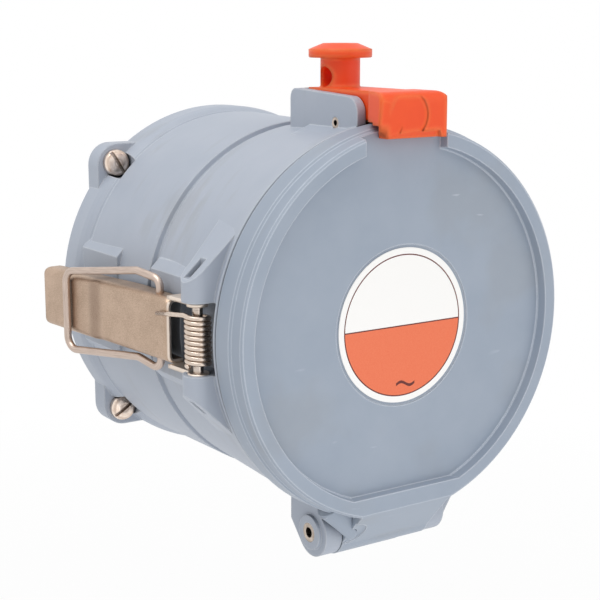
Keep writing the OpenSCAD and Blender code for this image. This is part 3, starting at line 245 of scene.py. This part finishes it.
screw_steel = bright_metal("barrelled_stainless_steel", colour="#FFF0E2", dark="#E8D3C3", roughness=0.30,
                           grain=(500.0, 500.0, 500.0), spread=0.04, soften=0.0005)

# Turned rings on the flange heads: a noise that runs outwards from each screw's axis, folded onto one
# quarter. Real tool marks are finer; these are about 1 mm apart so that they show.
flange_screw = (0.05798, 0.0, 0.05699)
tree, shader, clean = laid_finish(screw_steel)
folded = add(tree, "ShaderNodeVectorMath", {0: add(tree, "ShaderNodeTexCoord").outputs["Object"]},
             operation="ABSOLUTE")
offset = add(tree, "ShaderNodeVectorMath", {0: folded.outputs["Vector"], 1: flange_screw},
             operation="SUBTRACT")
parts = add(tree, "ShaderNodeSeparateXYZ", {"Vector": offset.outputs["Vector"]})
across = add(tree, "ShaderNodeCombineXYZ", {"X": parts.outputs["X"], "Y": parts.outputs["Z"]})
radius = add(tree, "ShaderNodeVectorMath", {0: across.outputs["Vector"]}, operation="LENGTH")
rings = add(tree, "ShaderNodeTexNoise", {"W": radius.outputs["Value"], "Scale": 900.0, "Detail": 1.0},
            noise_dimensions="1D")
cut = add(tree, "ShaderNodeMapRange", {"Value": rings.outputs["Fac"], "From Min": 0.45, "From Max": 0.62,
                                       "To Max": 0.5})
turned = add(tree, "ShaderNodeMix", {0: cut.outputs["Result"], 6: clean, 7: linear("#A58D7D")},
             data_type="RGBA")
tree.links.new(turned.outputs[2], shader.inputs["Base Color"])
dress(screw_steel, "flange_screws", "insulator_screws", "terminal_screws")

# Seals: two rings of moulded rubber, one in the mounting face and one in the mouth's face.
# Rubber is nearly black and matt, dulled by a pale bloom in patches.
seal_rubber = moulded_plastic("moulded_rubber_black", colour="#2E2F31", dark="#242527", pale="#4A4B4D",
                              smear="#3A3836", crevice_shade="#141516", roughness=0.7, grain_mm=0.6,
                              soften=0.0004)
dress(seal_rubber, "flange_seal", "mouth_seal")

# Contact insulator: a dark foot and boss behind the lid, which carry the brass contacts.
# Both are thermoset mouldings, harder and a little glossier than the body.
insulator_plastic = moulded_plastic("moulded_thermoset_dark_grey", colour="#3C3E42", dark="#333538",
                                    pale="#6A6C70", smear="#45433F", crevice_shade="#17181A", roughness=0.4,
                                    grain_mm=0.7, soften=0.0004)
dress(insulator_plastic, "insulator_foot", "insulator_boss")

# Contacts: sleeves turned from brass bar, with wire terminals behind the insulator.
# Turning leaves fine rings across the axis, so the grain is tight along the part's depth.
turned_brass = bright_metal("turned_brass", colour="#D9B56B", dark="#A8843F", roughness=0.28,
                            grain=(150.0, 3000.0, 150.0), spread=0.08, soften=0.0004)
dress(turned_brass, "phase_contact_1", "phase_contact_2", "phase_contact_3", "earth_contact",
      "pilot_contact")

# Lid: a round moulding of polyamide, a little bluer than the body and with paler painted shade in its
# crevices, hinged below the mouth.
# Its face is recessed inside a raised rim, with a notch at the top where the hook sits.
lid_plastic = moulded_plastic("moulded_polyamide_lid_blue_grey", colour="#9BA5B3", dark="#949FAE",
                              pale="#DDE3EC", smear="#92969B", crevice_shade="#646E7B", roughness=0.42,
                              grain_mm=0.9, soften=0.0008)
dress(lid_plastic, "lid")


def grid_mesh(name, points, closed):
    """A mesh over a grid of points: each cell of four neighbours is one face, joined round where it is
    closed. Its map gives the distance along the rows in metres and the share of the way across; poles are
    merged."""
    rows, columns = points.shape[:2]
    row, column = np.meshgrid(np.arange(rows - 1), np.arange(columns if closed else columns - 1),
                              indexing="ij")
    after = (column + 1) % columns
    cells = np.stack([row * columns + column, row * columns + after,
                      (row + 1) * columns + after, (row + 1) * columns + column], axis=-1).reshape(-1, 4)
    mesh = bpy.data.meshes.new(name)
    mesh.from_pydata(points.reshape(-1, 3).tolist(), [], cells.tolist())
    step = np.linalg.norm(np.diff(points.mean(axis=1), axis=0), axis=1)
    along = np.concatenate([[0.0], np.cumsum(step)])
    corner = np.stack([np.stack([along[row + i], (column + j) / columns], axis=-1)
                       for i, j in ((0, 0), (0, 1), (1, 1), (1, 0))], axis=2)
    mesh.uv_layers.new(name="along").data.foreach_set("uv", corner.reshape(-1))
    merged = bmesh.new()
    merged.from_mesh(mesh)
    bmesh.ops.remove_doubles(merged, verts=merged.verts, dist=1e-7)
    merged.to_mesh(mesh)
    merged.free()
    mesh.polygons.foreach_set("use_smooth", np.ones(len(mesh.polygons), dtype=bool))
    return mesh


def put(name, mesh, material, body, slot, *nodes):
    """A finished piece in the scene: its material, the body that it rides on and any CAD nodes that it
    stands for."""
    piece = bpy.data.objects.new(name, mesh)
    bpy.context.scene.collection.objects.link(piece)
    mesh.materials.append(material)
    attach(piece, body)
    if nodes:
        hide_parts(*nodes)
    return piece


def blunt_cone(start, end, wide, narrow, depth, flatten):
    """A cone with a round end, flattened one way: rings about the straight from start to end, whose radius
    falls evenly from wide to narrow and then as a quarter circle; across lies square to the axis and to the
    depth."""
    length = np.linalg.norm(end - start)
    axis = (end - start) / length
    across = np.cross(depth, axis)
    cap = np.linspace(0.0, np.pi / 2, 9)[1:]
    along = np.concatenate([[0.0], np.linspace(0.0, length, 16), length + narrow * np.sin(cap)])
    reach = np.concatenate([[0.0], np.linspace(wide, narrow, 16), narrow * np.cos(cap)])
    turn = np.linspace(0.0, 2.0 * np.pi, 40, endpoint=False)[None, :, None]
    ring = np.cos(turn) * across + flatten * np.sin(turn) * depth
    return start + along[:, None, None] * axis + reach[:, None, None] * ring


# The gusset that carries the rim down to the hinge web on the left, in millimetres
gusset = blunt_cone(start=np.array([-29.6, -142.5, -70.4]), end=np.array([-21.0, -142.5, -85.2]), wide=8.0,
                    narrow=2.8, depth=np.array([0.0, -1.0, 0.0]), flatten=0.7)
put("lid_gusset", grid_mesh("lid_gusset", gusset / 1000.0, True), lid_plastic, "lid", "body")

# Rating label: a round printed film on the lid, white above and orange below, with a wave sign for
# alternating current. The thin dark ring and the dividing line are printed; the film has a satin clear layer.
print_r, line_half_w = 0.0288, 0.00026
label_film, tree, shader = new_finish("printed_film_label")
place = add(tree, "ShaderNodeTexCoord").outputs["Object"]
parts = add(tree, "ShaderNodeSeparateXYZ", {"Vector": place})
flat = add(tree, "ShaderNodeCombineXYZ", {"X": parts.outputs["X"], "Y": parts.outputs["Z"]})
radius = add(tree, "ShaderNodeVectorMath", {0: flat.outputs["Vector"]}, operation="LENGTH")
lower = add(tree, "ShaderNodeMath", {0: parts.outputs["Z"], 1: 0.0}, operation="LESS_THAN")
inside = add(tree, "ShaderNodeMath", {0: radius.outputs["Value"], 1: print_r}, operation="LESS_THAN")
field = add(tree, "ShaderNodeMath", {0: lower.outputs["Value"], 1: inside.outputs["Value"]},
            operation="MULTIPLY")

# Specks of the print, 0.4 mm across
speck = add(tree, "ShaderNodeTexNoise", {"Vector": place, "Scale": 1000.0 / 0.4, "Detail": 1.0})
ink = add(tree, "ShaderNodeMix", {0: speck.outputs["Fac"], 6: linear("#E46940"), 7: linear("#EA7B54")},
          data_type="RGBA")
fields = add(tree, "ShaderNodeMix", {0: field.outputs["Value"], 6: linear("#F4F3F1"), 7: ink.outputs[2]},
             data_type="RGBA")
ring = add(tree, "ShaderNodeMath", {0: radius.outputs["Value"], 1: print_r, 2: line_half_w},
           operation="COMPARE")
bar = add(tree, "ShaderNodeMath", {0: parts.outputs["Z"], 1: 0.0, 2: line_half_w}, operation="COMPARE")
bar = add(tree, "ShaderNodeMath", {0: bar.outputs["Value"], 1: inside.outputs["Value"]},
          operation="MULTIPLY")
rule = add(tree, "ShaderNodeMath", {0: ring.outputs["Value"], 1: bar.outputs["Value"]}, operation="MAXIMUM")

# The wave: one sine period 9.4 mm long that swings 0.9 mm each way, drawn as a band 1.2 mm tall about the
# curve, 24.1 mm below the label's middle
wave_len, wave_swing, wave_half_w = 0.0094, 0.0009, 0.0006
wave_x, wave_z = 0.0015, -0.0241
along = add(tree, "ShaderNodeMath", {0: parts.outputs["X"], 1: wave_x}, operation="SUBTRACT")
swing = add(tree, "ShaderNodeMath", {0: along.outputs["Value"], 1: 2.0 * np.pi / wave_len},
            operation="MULTIPLY")
swing = add(tree, "ShaderNodeMath", {0: swing.outputs["Value"]}, operation="SINE")
crest = add(tree, "ShaderNodeMath", {0: swing.outputs["Value"], 1: -wave_swing, 2: wave_z},
            operation="MULTIPLY_ADD")
band = add(tree, "ShaderNodeMath", {0: parts.outputs["Z"], 1: crest.outputs["Value"], 2: wave_half_w},
           operation="COMPARE")
span = add(tree, "ShaderNodeMath", {0: along.outputs["Value"], 1: 0.0, 2: wave_len / 2},
           operation="COMPARE")
wave = add(tree, "ShaderNodeMath", {0: band.outputs["Value"], 1: span.outputs["Value"]},
           operation="MULTIPLY")
dark_ink = add(tree, "ShaderNodeMath", {0: rule.outputs["Value"], 1: wave.outputs["Value"]},
               operation="MAXIMUM")
printed = add(tree, "ShaderNodeMix", {0: dark_ink.outputs["Value"], 6: fields.outputs[2],
                                      7: linear("#5E1B14")}, data_type="RGBA")
tree.links.new(printed.outputs[2], shader.inputs["Base Color"])
gloss = add(tree, "ShaderNodeMapRange", {"Value": speck.outputs["Fac"], "To Min": 0.38, "To Max": 0.46})
tree.links.new(gloss.outputs["Result"], shader.inputs["Roughness"])
dress(label_film, "rating_label")

# Lid hinge pin and pawl pin: hollow roll pins of spring steel pressed through the moulded ears.
# Rolled strip with a dull, slightly dark finish.
roll_steel = bright_metal("rolled_spring_steel", colour="#CDBFB2", dark="#8F8379", roughness=0.32,
                          grain=(900.0, 300.0, 300.0), spread=0.08, soften=0.0003)
dress(roll_steel, "lid_hinge_pin", "pawl_pin")

# Pawl: the orange locking lever, moulded in tough polyamide, with a knob that takes a padlock.
# Bright orange with a satin gloss; its edges catch a paler light.
# Its painted shade in crevices and pockets is a bright red that stands in for light glowing through the
# plastic.
pawl_plastic = moulded_plastic("moulded_polyamide_orange", colour="#EE5018", dark="#E94A14", pale="#FF8040",
                               smear="#DE4C20", crevice_shade="#F8260F", roughness=0.42, grain_mm=0.8,
                               soften=0.003)
dress(pawl_plastic, "pawl")

# Levers: stainless sheet 1.5 mm thick, folded to a channel with round folds and a joggle in its face.
# The sheet was tumbled after folding, so it is matt and finely sanded, with a warm tone.
# Sizes are in millimetres: s runs along the lever from its pin, and x points in from it to the body.
latch_lean = np.radians(5.5)
latch_x, latch_y, latch_z = -82.0, -126.7, 0.7
lever_half_h, fold_r, sheet_t = 13.0, 3.3, 1.5
face_out, eye_r, eye_inner = 1.9, 4.2, 3.36
channel_start, lever_end, end_corner = 17.5, 113.0, 2.0
joggle_start, joggle_len, joggle_out = 69.0, 5.2, 1.2
neck_wall = 5.2
wall_s = [channel_start, 50.0, 110.0, 112.0, lever_end]
wall_in = [neck_wall, 8.0, 4.2, 3.3, 1.4]


def at_latch(local, side):
    """Latch points from millimetres beside the lever pin, leaned by the latch's angle, to metres in the
    part's frame; side is -1 on the left and 1 on the right."""
    x = local[..., 0] * np.cos(latch_lean) - local[..., 1] * np.sin(latch_lean) + latch_x
    y = local[..., 0] * np.sin(latch_lean) + local[..., 1] * np.cos(latch_lean) + latch_y
    return np.stack([-side * x, y, local[..., 2] + latch_z], axis=-1) / 1000.0


def folded_channel():
    """The lever's outer skin. Across: wall, round fold, face, round fold, wall. Along: from the face's front
    edge to the free end, where the corners are rounded; the face steps outwards by a smooth ramp and the
    walls narrow."""
    arc = np.linspace(0.0, np.pi / 2, 9)[1:-1]
    reach = np.concatenate([np.linspace(1, 0, 6), np.zeros(7 + 15 + 7), np.linspace(0, 1, 6)])
    bend = np.concatenate([np.zeros(6), arc, np.full(15, np.pi / 2), arc[::-1], np.zeros(6)])
    level = np.concatenate([-np.ones(13), np.linspace(-1, 1, 15), np.ones(13)])
    z = level * (lever_half_h - fold_r) + np.sign(level) * fold_r * np.cos(bend)
    past = np.clip((np.abs(z) - (lever_half_h - end_corner)) / end_corner, 0.0, 1.0)
    end = lever_end - end_corner * (1.0 - np.sqrt(1.0 - 0.97 * past ** 2))

    # Rows lie closest at the joggle and at the free end
    share = np.concatenate([np.linspace(0.0, 0.5, 12), np.linspace(0.52, 0.66, 20),
                            np.linspace(0.69, 0.94, 10), np.linspace(0.955, 1.0, 8)])
    s = channel_start + share[:, None] * (end[None, :] - channel_start)
    ramp = np.clip((s - joggle_start) / joggle_len, 0.0, 1.0)
    face = face_out + joggle_out * ramp * ramp * (3.0 - 2.0 * ramp)
    wall = np.interp(s, wall_s, wall_in)
    x = -face + fold_r * (1.0 - np.sin(bend)) + reach * (wall + face - fold_r)
    return np.stack([x, s, np.broadcast_to(z, x.shape)], axis=-1)


def lever_arm(level):
    """One arm of the lever, flat at a height: across from its outer edge to its inner edge, along from the
    eye's round end to the channel. The eye's outline is a circle about the pin, and the edges are straight
    beyond it."""
    s = np.concatenate([-eye_r * np.cos(np.linspace(0.0, np.pi / 2, 12)), np.linspace(0.5, eye_r, 8),
                        np.linspace(5.0, 18.0, 8)])
    bow = np.sqrt(np.clip(eye_r ** 2 - s ** 2, 0.0, None))
    outer = np.where(s < 0.0, -bow, np.minimum(-bow, -face_out))
    inner = np.interp(s, [0.0, channel_start], [eye_inner, neck_wall])
    inner = np.where(s < 0.0, bow, np.maximum(bow, inner))
    x = outer[:, None] + np.linspace(0.0, 1.0, 9) * (inner - outer)[:, None]
    return np.stack([x, np.broadcast_to(s[:, None], x.shape), np.full(x.shape, level)], axis=-1)


sheet_steel = bright_metal("tumbled_stainless_sheet", colour="#C8B09C", dark="#B09985", roughness=0.44,
                           grain=(2600.0, 1500.0, 2600.0), spread=0.05, soften=0.0005)

# The joggle, 55.4 mm in front of the mounting face, carries a band of painted shade, which fades 5.5 mm to
# each side
joggle_shade_out = 0.0554
tree, shader, clean = laid_finish(sheet_steel)
parts = add(tree, "ShaderNodeSeparateXYZ", {"Vector": add(tree, "ShaderNodeTexCoord").outputs["Object"]})
beside = add(tree, "ShaderNodeMath", {0: parts.outputs["Y"], 1: joggle_shade_out}, operation="ADD")
beside = add(tree, "ShaderNodeMath", {0: beside.outputs["Value"]}, operation="ABSOLUTE")
joggle_shade = add(tree, "ShaderNodeMapRange", {"Value": beside.outputs["Value"], "From Min": 0.0005,
                                         "From Max": 0.0055, "To Min": 0.5, "To Max": 0.0},
            interpolation_type="SMOOTHSTEP")
joggle_shaded = add(tree, "ShaderNodeMix", {0: joggle_shade.outputs["Result"], 6: clean, 7: linear("#7D695D")},
              data_type="RGBA")

# The arms and the face's cut front edge, from 108.2 mm in front of the mounting face, carry a painted
# highlight
highlight_full_y, highlight_none_y = -0.1090, -0.1082
edge_highlight = add(tree, "ShaderNodeMapRange", {"Value": parts.outputs["Y"], "From Min": highlight_full_y,
                                          "From Max": highlight_none_y, "To Min": 0.8, "To Max": 0.0})
highlighted = add(tree, "ShaderNodeMix", {0: edge_highlight.outputs["Result"], 6: joggle_shaded.outputs[2],
                                       7: linear("#F0E4D8")}, data_type="RGBA")
tree.links.new(highlighted.outputs[2], shader.inputs["Base Color"])

for side, body in ((-1, "left_lever"), (1, "right_lever")):
    skins = [folded_channel(), lever_arm(lever_half_h)[:, ::-1], lever_arm(-lever_half_h)]
    joined = bmesh.new()
    for skin in skins:
        turned = skin if side < 0 else skin[:, ::-1]
        part = grid_mesh(body + "_skin", at_latch(turned, side), False)
        joined.from_mesh(part)
        bpy.data.meshes.remove(part)
    folded = bpy.data.meshes.new(body + "_sheet")
    joined.to_mesh(folded)
    joined.free()
    lever = put(body + "_sheet", folded, sheet_steel, body, "steel", body)
    wall = lever.modifiers.new("sheet_thickness", "SOLIDIFY")
    wall.thickness = sheet_t / 1000.0
    wall.offset = -1.0
    wall.use_even_offset = True

# Lever pins: ground stainless pins, upright in the body's ears, which each lever turns on.
# Grinding leaves them brighter than the sheet.
pin_steel = bright_metal("ground_stainless_pin", colour="#D3C6BB", dark="#A3968B", roughness=0.22,
                         grain=(300.0, 300.0, 2500.0), spread=0.05, soften=0.0003)
dress(pin_steel, "left_lever_pin", "right_lever_pin")

# Bails: drawn stainless wire, 3.2 mm thick, bent to a loop whose ends turn in to the lever's eyes.
# Drawing leaves fine lines along the wire; handling has dulled it to a satin.


def drawn_wire(name, colour, dark, roughness):
    """Drawn wire: fine lines along the length, read from the piece's own map, drive tone, roughness and
    bump."""
    made, tree, shader = new_finish(name)
    shader.inputs["Metallic"].default_value = 1.0
    way = add(tree, "ShaderNodeTexCoord").outputs["UV"]

    # Lines about 6 mm long and a twentieth of the way round
    drawn = add(tree, "ShaderNodeMapping", {"Vector": way, "Scale": (160.0, 20.0, 1.0)})
    lines = add(tree, "ShaderNodeTexNoise", {"Vector": drawn.outputs["Vector"], "Scale": 1.0,
                                             "Detail": 4.0})
    tone = add(tree, "ShaderNodeValToRGB", {"Fac": lines.outputs["Fac"]})
    for stop, position, shade in zip(tone.color_ramp.elements, (0.3, 0.7), (dark, colour)):
        stop.position = position
        stop.color = linear(shade)
    tree.links.new(tone.outputs["Color"], shader.inputs["Base Color"])
    gloss = add(tree, "ShaderNodeMapRange", {"Value": lines.outputs["Fac"], "To Min": roughness - 0.06,
                                             "To Max": roughness + 0.06})
    tree.links.new(gloss.outputs["Result"], shader.inputs["Roughness"])
    bump = add(tree, "ShaderNodeBump", {"Height": lines.outputs["Fac"], "Strength": 0.10,
                                        "Distance": 0.0001})
    tree.links.new(bump.outputs["Normal"], shader.inputs["Normal"])
    return made


def round_wire(path, normal, thickness, sides):
    """A round wire: each point of the path carries a circle square to the path, turned so that one diameter
    stays square to a given normal; the first and last circles shrink to a point and close the ends."""
    heading = np.gradient(path, axis=0)
    heading /= np.linalg.norm(heading, axis=1, keepdims=True)
    across = np.cross(heading, normal)
    across /= np.linalg.norm(across, axis=1, keepdims=True)
    upward = np.cross(across, heading)
    pick = np.r_[0, np.arange(len(path)), len(path) - 1]
    size = np.r_[0.0, np.full(len(path), thickness / 2), 0.0][:, None, None]
    turn = np.linspace(0.0, 2.0 * np.pi, sides, endpoint=False)[None, :, None]
    circle = np.cos(turn) * across[pick][:, None, :] + np.sin(turn) * upward[pick][:, None, :]
    return path[pick][:, None, :] + size * circle


def bent_path(corners, bends):
    """A path through corners, each replaced by an arc of its bend radius that meets both straights, in the
    arc form (sin((1 - t) a) v0 + sin(t a) v1) / sin a between the two radii v0 and v1."""
    pieces = [corners[:1]]
    for before, corner, after, bend in zip(corners[:-2], corners[1:-1], corners[2:], bends):
        come = (corner - before) / np.linalg.norm(corner - before)
        leave = (after - corner) / np.linalg.norm(after - corner)
        angle = np.arccos(np.clip(come @ leave, -1.0, 1.0))
        trim = bend * np.tan(angle / 2)
        first, last = corner - trim * come, corner + trim * leave
        inward = (leave - come) / np.linalg.norm(leave - come)
        middle = corner + inward * bend / np.cos(angle / 2)
        t = np.linspace(0.0, 1.0, 13)[:, None]
        arc = np.sin((1 - t) * angle) * (first - middle) + np.sin(t * angle) * (last - middle)
        pieces.append(middle + arc / np.sin(angle))
    return np.concatenate(pieces + [corners[-1:]])


# The loop's corners in its own plane, in millimetres: how far from the pivot, and how high
bail_len, bail_knee, bail_eye, eye_bend, loop_bend = 61.0, 14.0, 18.6, 4.0, 5.5
bail_corners = np.array([[0.0, 10.0], [0.0, bail_eye], [bail_knee, 20.5], [bail_len, 14.4],
                         [bail_len, -19.6], [bail_knee, -15.3], [0.0, -bail_eye], [0.0, -10.0]])
flat_path = bent_path(bail_corners, (eye_bend, loop_bend, loop_bend, loop_bend, loop_bend, eye_bend))

# The parked loop leans out from its pivot in the lever's walls until it clears the lever's face
bail_lean_out, pivot_in, pivot_s = 7.9, 2.9, 30.0
tilt = np.arcsin(bail_lean_out / bail_len)
bail_path = np.stack([pivot_in - np.sin(tilt) * flat_path[:, 0], pivot_s + np.cos(tilt) * flat_path[:, 0],
                      flat_path[:, 1]], axis=-1)
bail_wire = drawn_wire("drawn_stainless_wire", colour="#D4C2B6", dark="#BBA99D", roughness=0.38)
bail_thickness = 0.0032
for side, body in ((-1, "left_bail"), (1, "right_bail")):
    placed = at_latch(bail_path, side)

    # Three points of the loop, one end and two bends, give the normal of its plane
    square = np.cross(placed[20] - placed[0], placed[60] - placed[0])
    wire = grid_mesh(body + "_wire", round_wire(placed, square, bail_thickness, 20), True)
    put(body + "_wire", wire, bail_wire, body, "wire", body)

# Springs: hard drawn spring wire wound close round each lever pin, with one leg laid on the lever's face.
# The pawl has a smaller one round its own pin. The wire is bright, so each turn shows a clear highlight.
spring_wire = drawn_wire("bright_spring_wire", colour="#E4D5C8", dark="#C6B5A7", roughness=0.27)


def coil(radius, turns, low, high, start):
    """A coil about the upright axis that climbs clockwise: 36 points a turn, the angle falling and the
    height rising evenly."""
    share = np.linspace(0.0, 1.0, int(turns * 36) + 1)
    angle = start - 2.0 * np.pi * turns * share
    return np.stack([radius * np.cos(angle), radius * np.sin(angle), low + (high - low) * share], axis=-1)


coil_r, spring_thickness = 4.4, 0.0019
wound = coil(coil_r, turns=10, low=-10.35, high=9.125, start=np.pi)
leg = np.array([[-coil_r, 3.0, 9.425], [-3.5, 13.5, 8.075], [-2.9, 23.5, 6.725]])
spring_path = np.concatenate([wound, leg])
upright = (0.0, 0.0, 1.0)
for side, body in ((-1, "left_lever"), (1, "right_lever")):
    tube = round_wire(at_latch(spring_path, side), upright, spring_thickness, 12)
    wire = grid_mesh(body + "_spring_coil", tube, True)
    put(body + "_spring_coil", wire, spring_wire, body, "wire", body + "_spring")

# The pawl's coil is turned onto its pin, which lies along x
pawl_coil_r, pawl_coil_half, pawl_spring_thickness = 3.15, 3.15, 0.0012
pawl_pin_y, pawl_pin_z = -121.5, 79.7
sideways = (1.0, 0.0, 0.0)
small = coil(pawl_coil_r, turns=5, low=-pawl_coil_half, high=pawl_coil_half, start=0.0)
small = np.stack([small[:, 2], pawl_pin_y + small[:, 1], pawl_pin_z - small[:, 0]], axis=-1) / 1000.0
wire = grid_mesh("pawl_spring_coil", round_wire(small, sideways, pawl_spring_thickness, 12), True)
put("pawl_spring_coil", wire, spring_wire, "pawl", "wire", "pawl_spring")

# Floor: a wide pale sheet below the outlet, which hangs on a wall; it keeps the soft shadow of the object.
# It lies under the reach of the open lid, and shows as white to the camera and in reflections, as a studio
# sweep does.
floor_drop, floor_half = 0.165, 6
floor_z = cad_low[2] - floor_drop
floor_corners = [(x * floor_half, y * floor_half, floor_z) for x, y in ((-1, -1), (1, -1), (1, 1), (-1, 1))]
floor_mesh = bpy.data.meshes.new("floor")
floor_mesh.from_pydata(floor_corners, [], [(0, 1, 2, 3)])
floor = bpy.data.objects.new("floor", floor_mesh)
bpy.context.scene.collection.objects.link(floor)
floor_white, tree, shader = new_finish("studio_white")
shader.inputs["Base Color"].default_value = linear("#F4F4F4")
shader.inputs["Roughness"].default_value = 0.9
glow = add(tree, "ShaderNodeEmission", {"Color": (1.0, 1.0, 1.0, 1.0), "Strength": 1.0})
ray = add(tree, "ShaderNodeLightPath")
seen = add(tree, "ShaderNodeMath", {0: ray.outputs["Is Camera Ray"], 1: ray.outputs["Is Glossy Ray"]},
           operation="MAXIMUM")

# The white takes over with distance, so that only the floor near the object keeps its shade. To other rays
# the floor glows at four fifths, and so lights the object from below, as a lit table does.
white_start, white_full = 0.35, 0.75
place = add(tree, "ShaderNodeTexCoord").outputs["Object"]
far = add(tree, "ShaderNodeVectorMath", {0: place}, operation="LENGTH")
white = add(tree, "ShaderNodeMapRange", {"Value": far.outputs["Value"], "From Min": white_start,
                                         "From Max": white_full, "To Min": 0.88, "To Max": 1.0})
share = add(tree, "ShaderNodeMapRange", {"Value": seen.outputs["Value"], "To Min": 0.8,
                                         "To Max": white.outputs["Result"]})
mixed = add(tree, "ShaderNodeMixShader", {0: share.outputs["Result"], 1: shader.outputs["BSDF"],
                                          2: glow.outputs["Emission"]})
tree.links.new(mixed.outputs["Shader"], tree.nodes["Material Output"].inputs["Surface"])
floor.data.materials.append(floor_white)

# Studio light: a broad soft box from the upper left, weaker ones from the right and from low in front, and a
# white room. The room is white to the camera and to reflections, and lights the object more from above.


def soft_box(name, place, target, size, power):
    """A square area lamp at a place, turned to face a target."""
    lamp = bpy.data.lights.new(name, "AREA")
    lamp.size = size
    lamp.energy = power
    made = bpy.data.objects.new(name, lamp)
    made.location = place
    made.rotation_euler = (Vector(target) - Vector(place)).to_track_quat("-Z", "Y").to_euler()
    bpy.context.scene.collection.objects.link(made)


outlet_middle = (0.0, -0.08, 0.0)
soft_box("soft_box_left", (-0.45, -0.2, 1.1), outlet_middle, size=0.9, power=6.8)
soft_box("soft_box_right", (0.55, -1.05, 0.45), outlet_middle, size=0.9, power=2.0)
soft_box("soft_box_low", (-0.02, -0.36, -0.07), (-0.01, -0.15, -0.03), size=0.2, power=0.095)
room = bpy.data.worlds.new("white_room")
room.use_nodes = True
tree = room.node_tree
light = tree.nodes["Background"]
light.inputs["Color"].default_value = (1.0, 1.0, 1.0, 1.0)
ray = add(tree, "ShaderNodeLightPath")
seen = add(tree, "ShaderNodeMath", {0: ray.outputs["Is Camera Ray"], 1: ray.outputs["Is Glossy Ray"]},
           operation="MAXIMUM")
seen = add(tree, "ShaderNodeMath", {0: seen.outputs["Value"], 1: ray.outputs["Is Transmission Ray"]},
           operation="MAXIMUM")
way = add(tree, "ShaderNodeTexCoord").outputs["Generated"]
rise = add(tree, "ShaderNodeSeparateXYZ", {"Vector": way})
sky = add(tree, "ShaderNodeMapRange", {"Value": rise.outputs["Z"], "To Min": 0.45, "To Max": 0.8})
level = add(tree, "ShaderNodeMapRange", {"Value": seen.outputs["Value"], "To Min": sky.outputs["Result"],
                                         "To Max": 1.0})
tree.links.new(level.outputs["Result"], light.inputs["Strength"])
bpy.context.scene.world = room
bpy.context.scene.view_settings.view_transform = "Standard"

# Camera: a long lens to the front left, a little above the outlet, as in the photograph.
# Its place and line of sight were fitted to the photograph's outlines.
lens = bpy.data.cameras.new("camera")
lens.lens = 82.6
lens.sensor_width = 36.0
lens.clip_end = 20.0
camera = bpy.data.objects.new("camera", lens)
camera_place = (-0.3329, -0.5735, 0.1192)
sight = Vector((0.5433, 0.8158, -0.198))
aimed = sight.to_track_quat("-Z", "Y").to_matrix().to_4x4()
camera.matrix_world = Matrix.Translation(camera_place) @ aimed
bpy.context.scene.collection.objects.link(camera)
bpy.context.scene.camera = camera
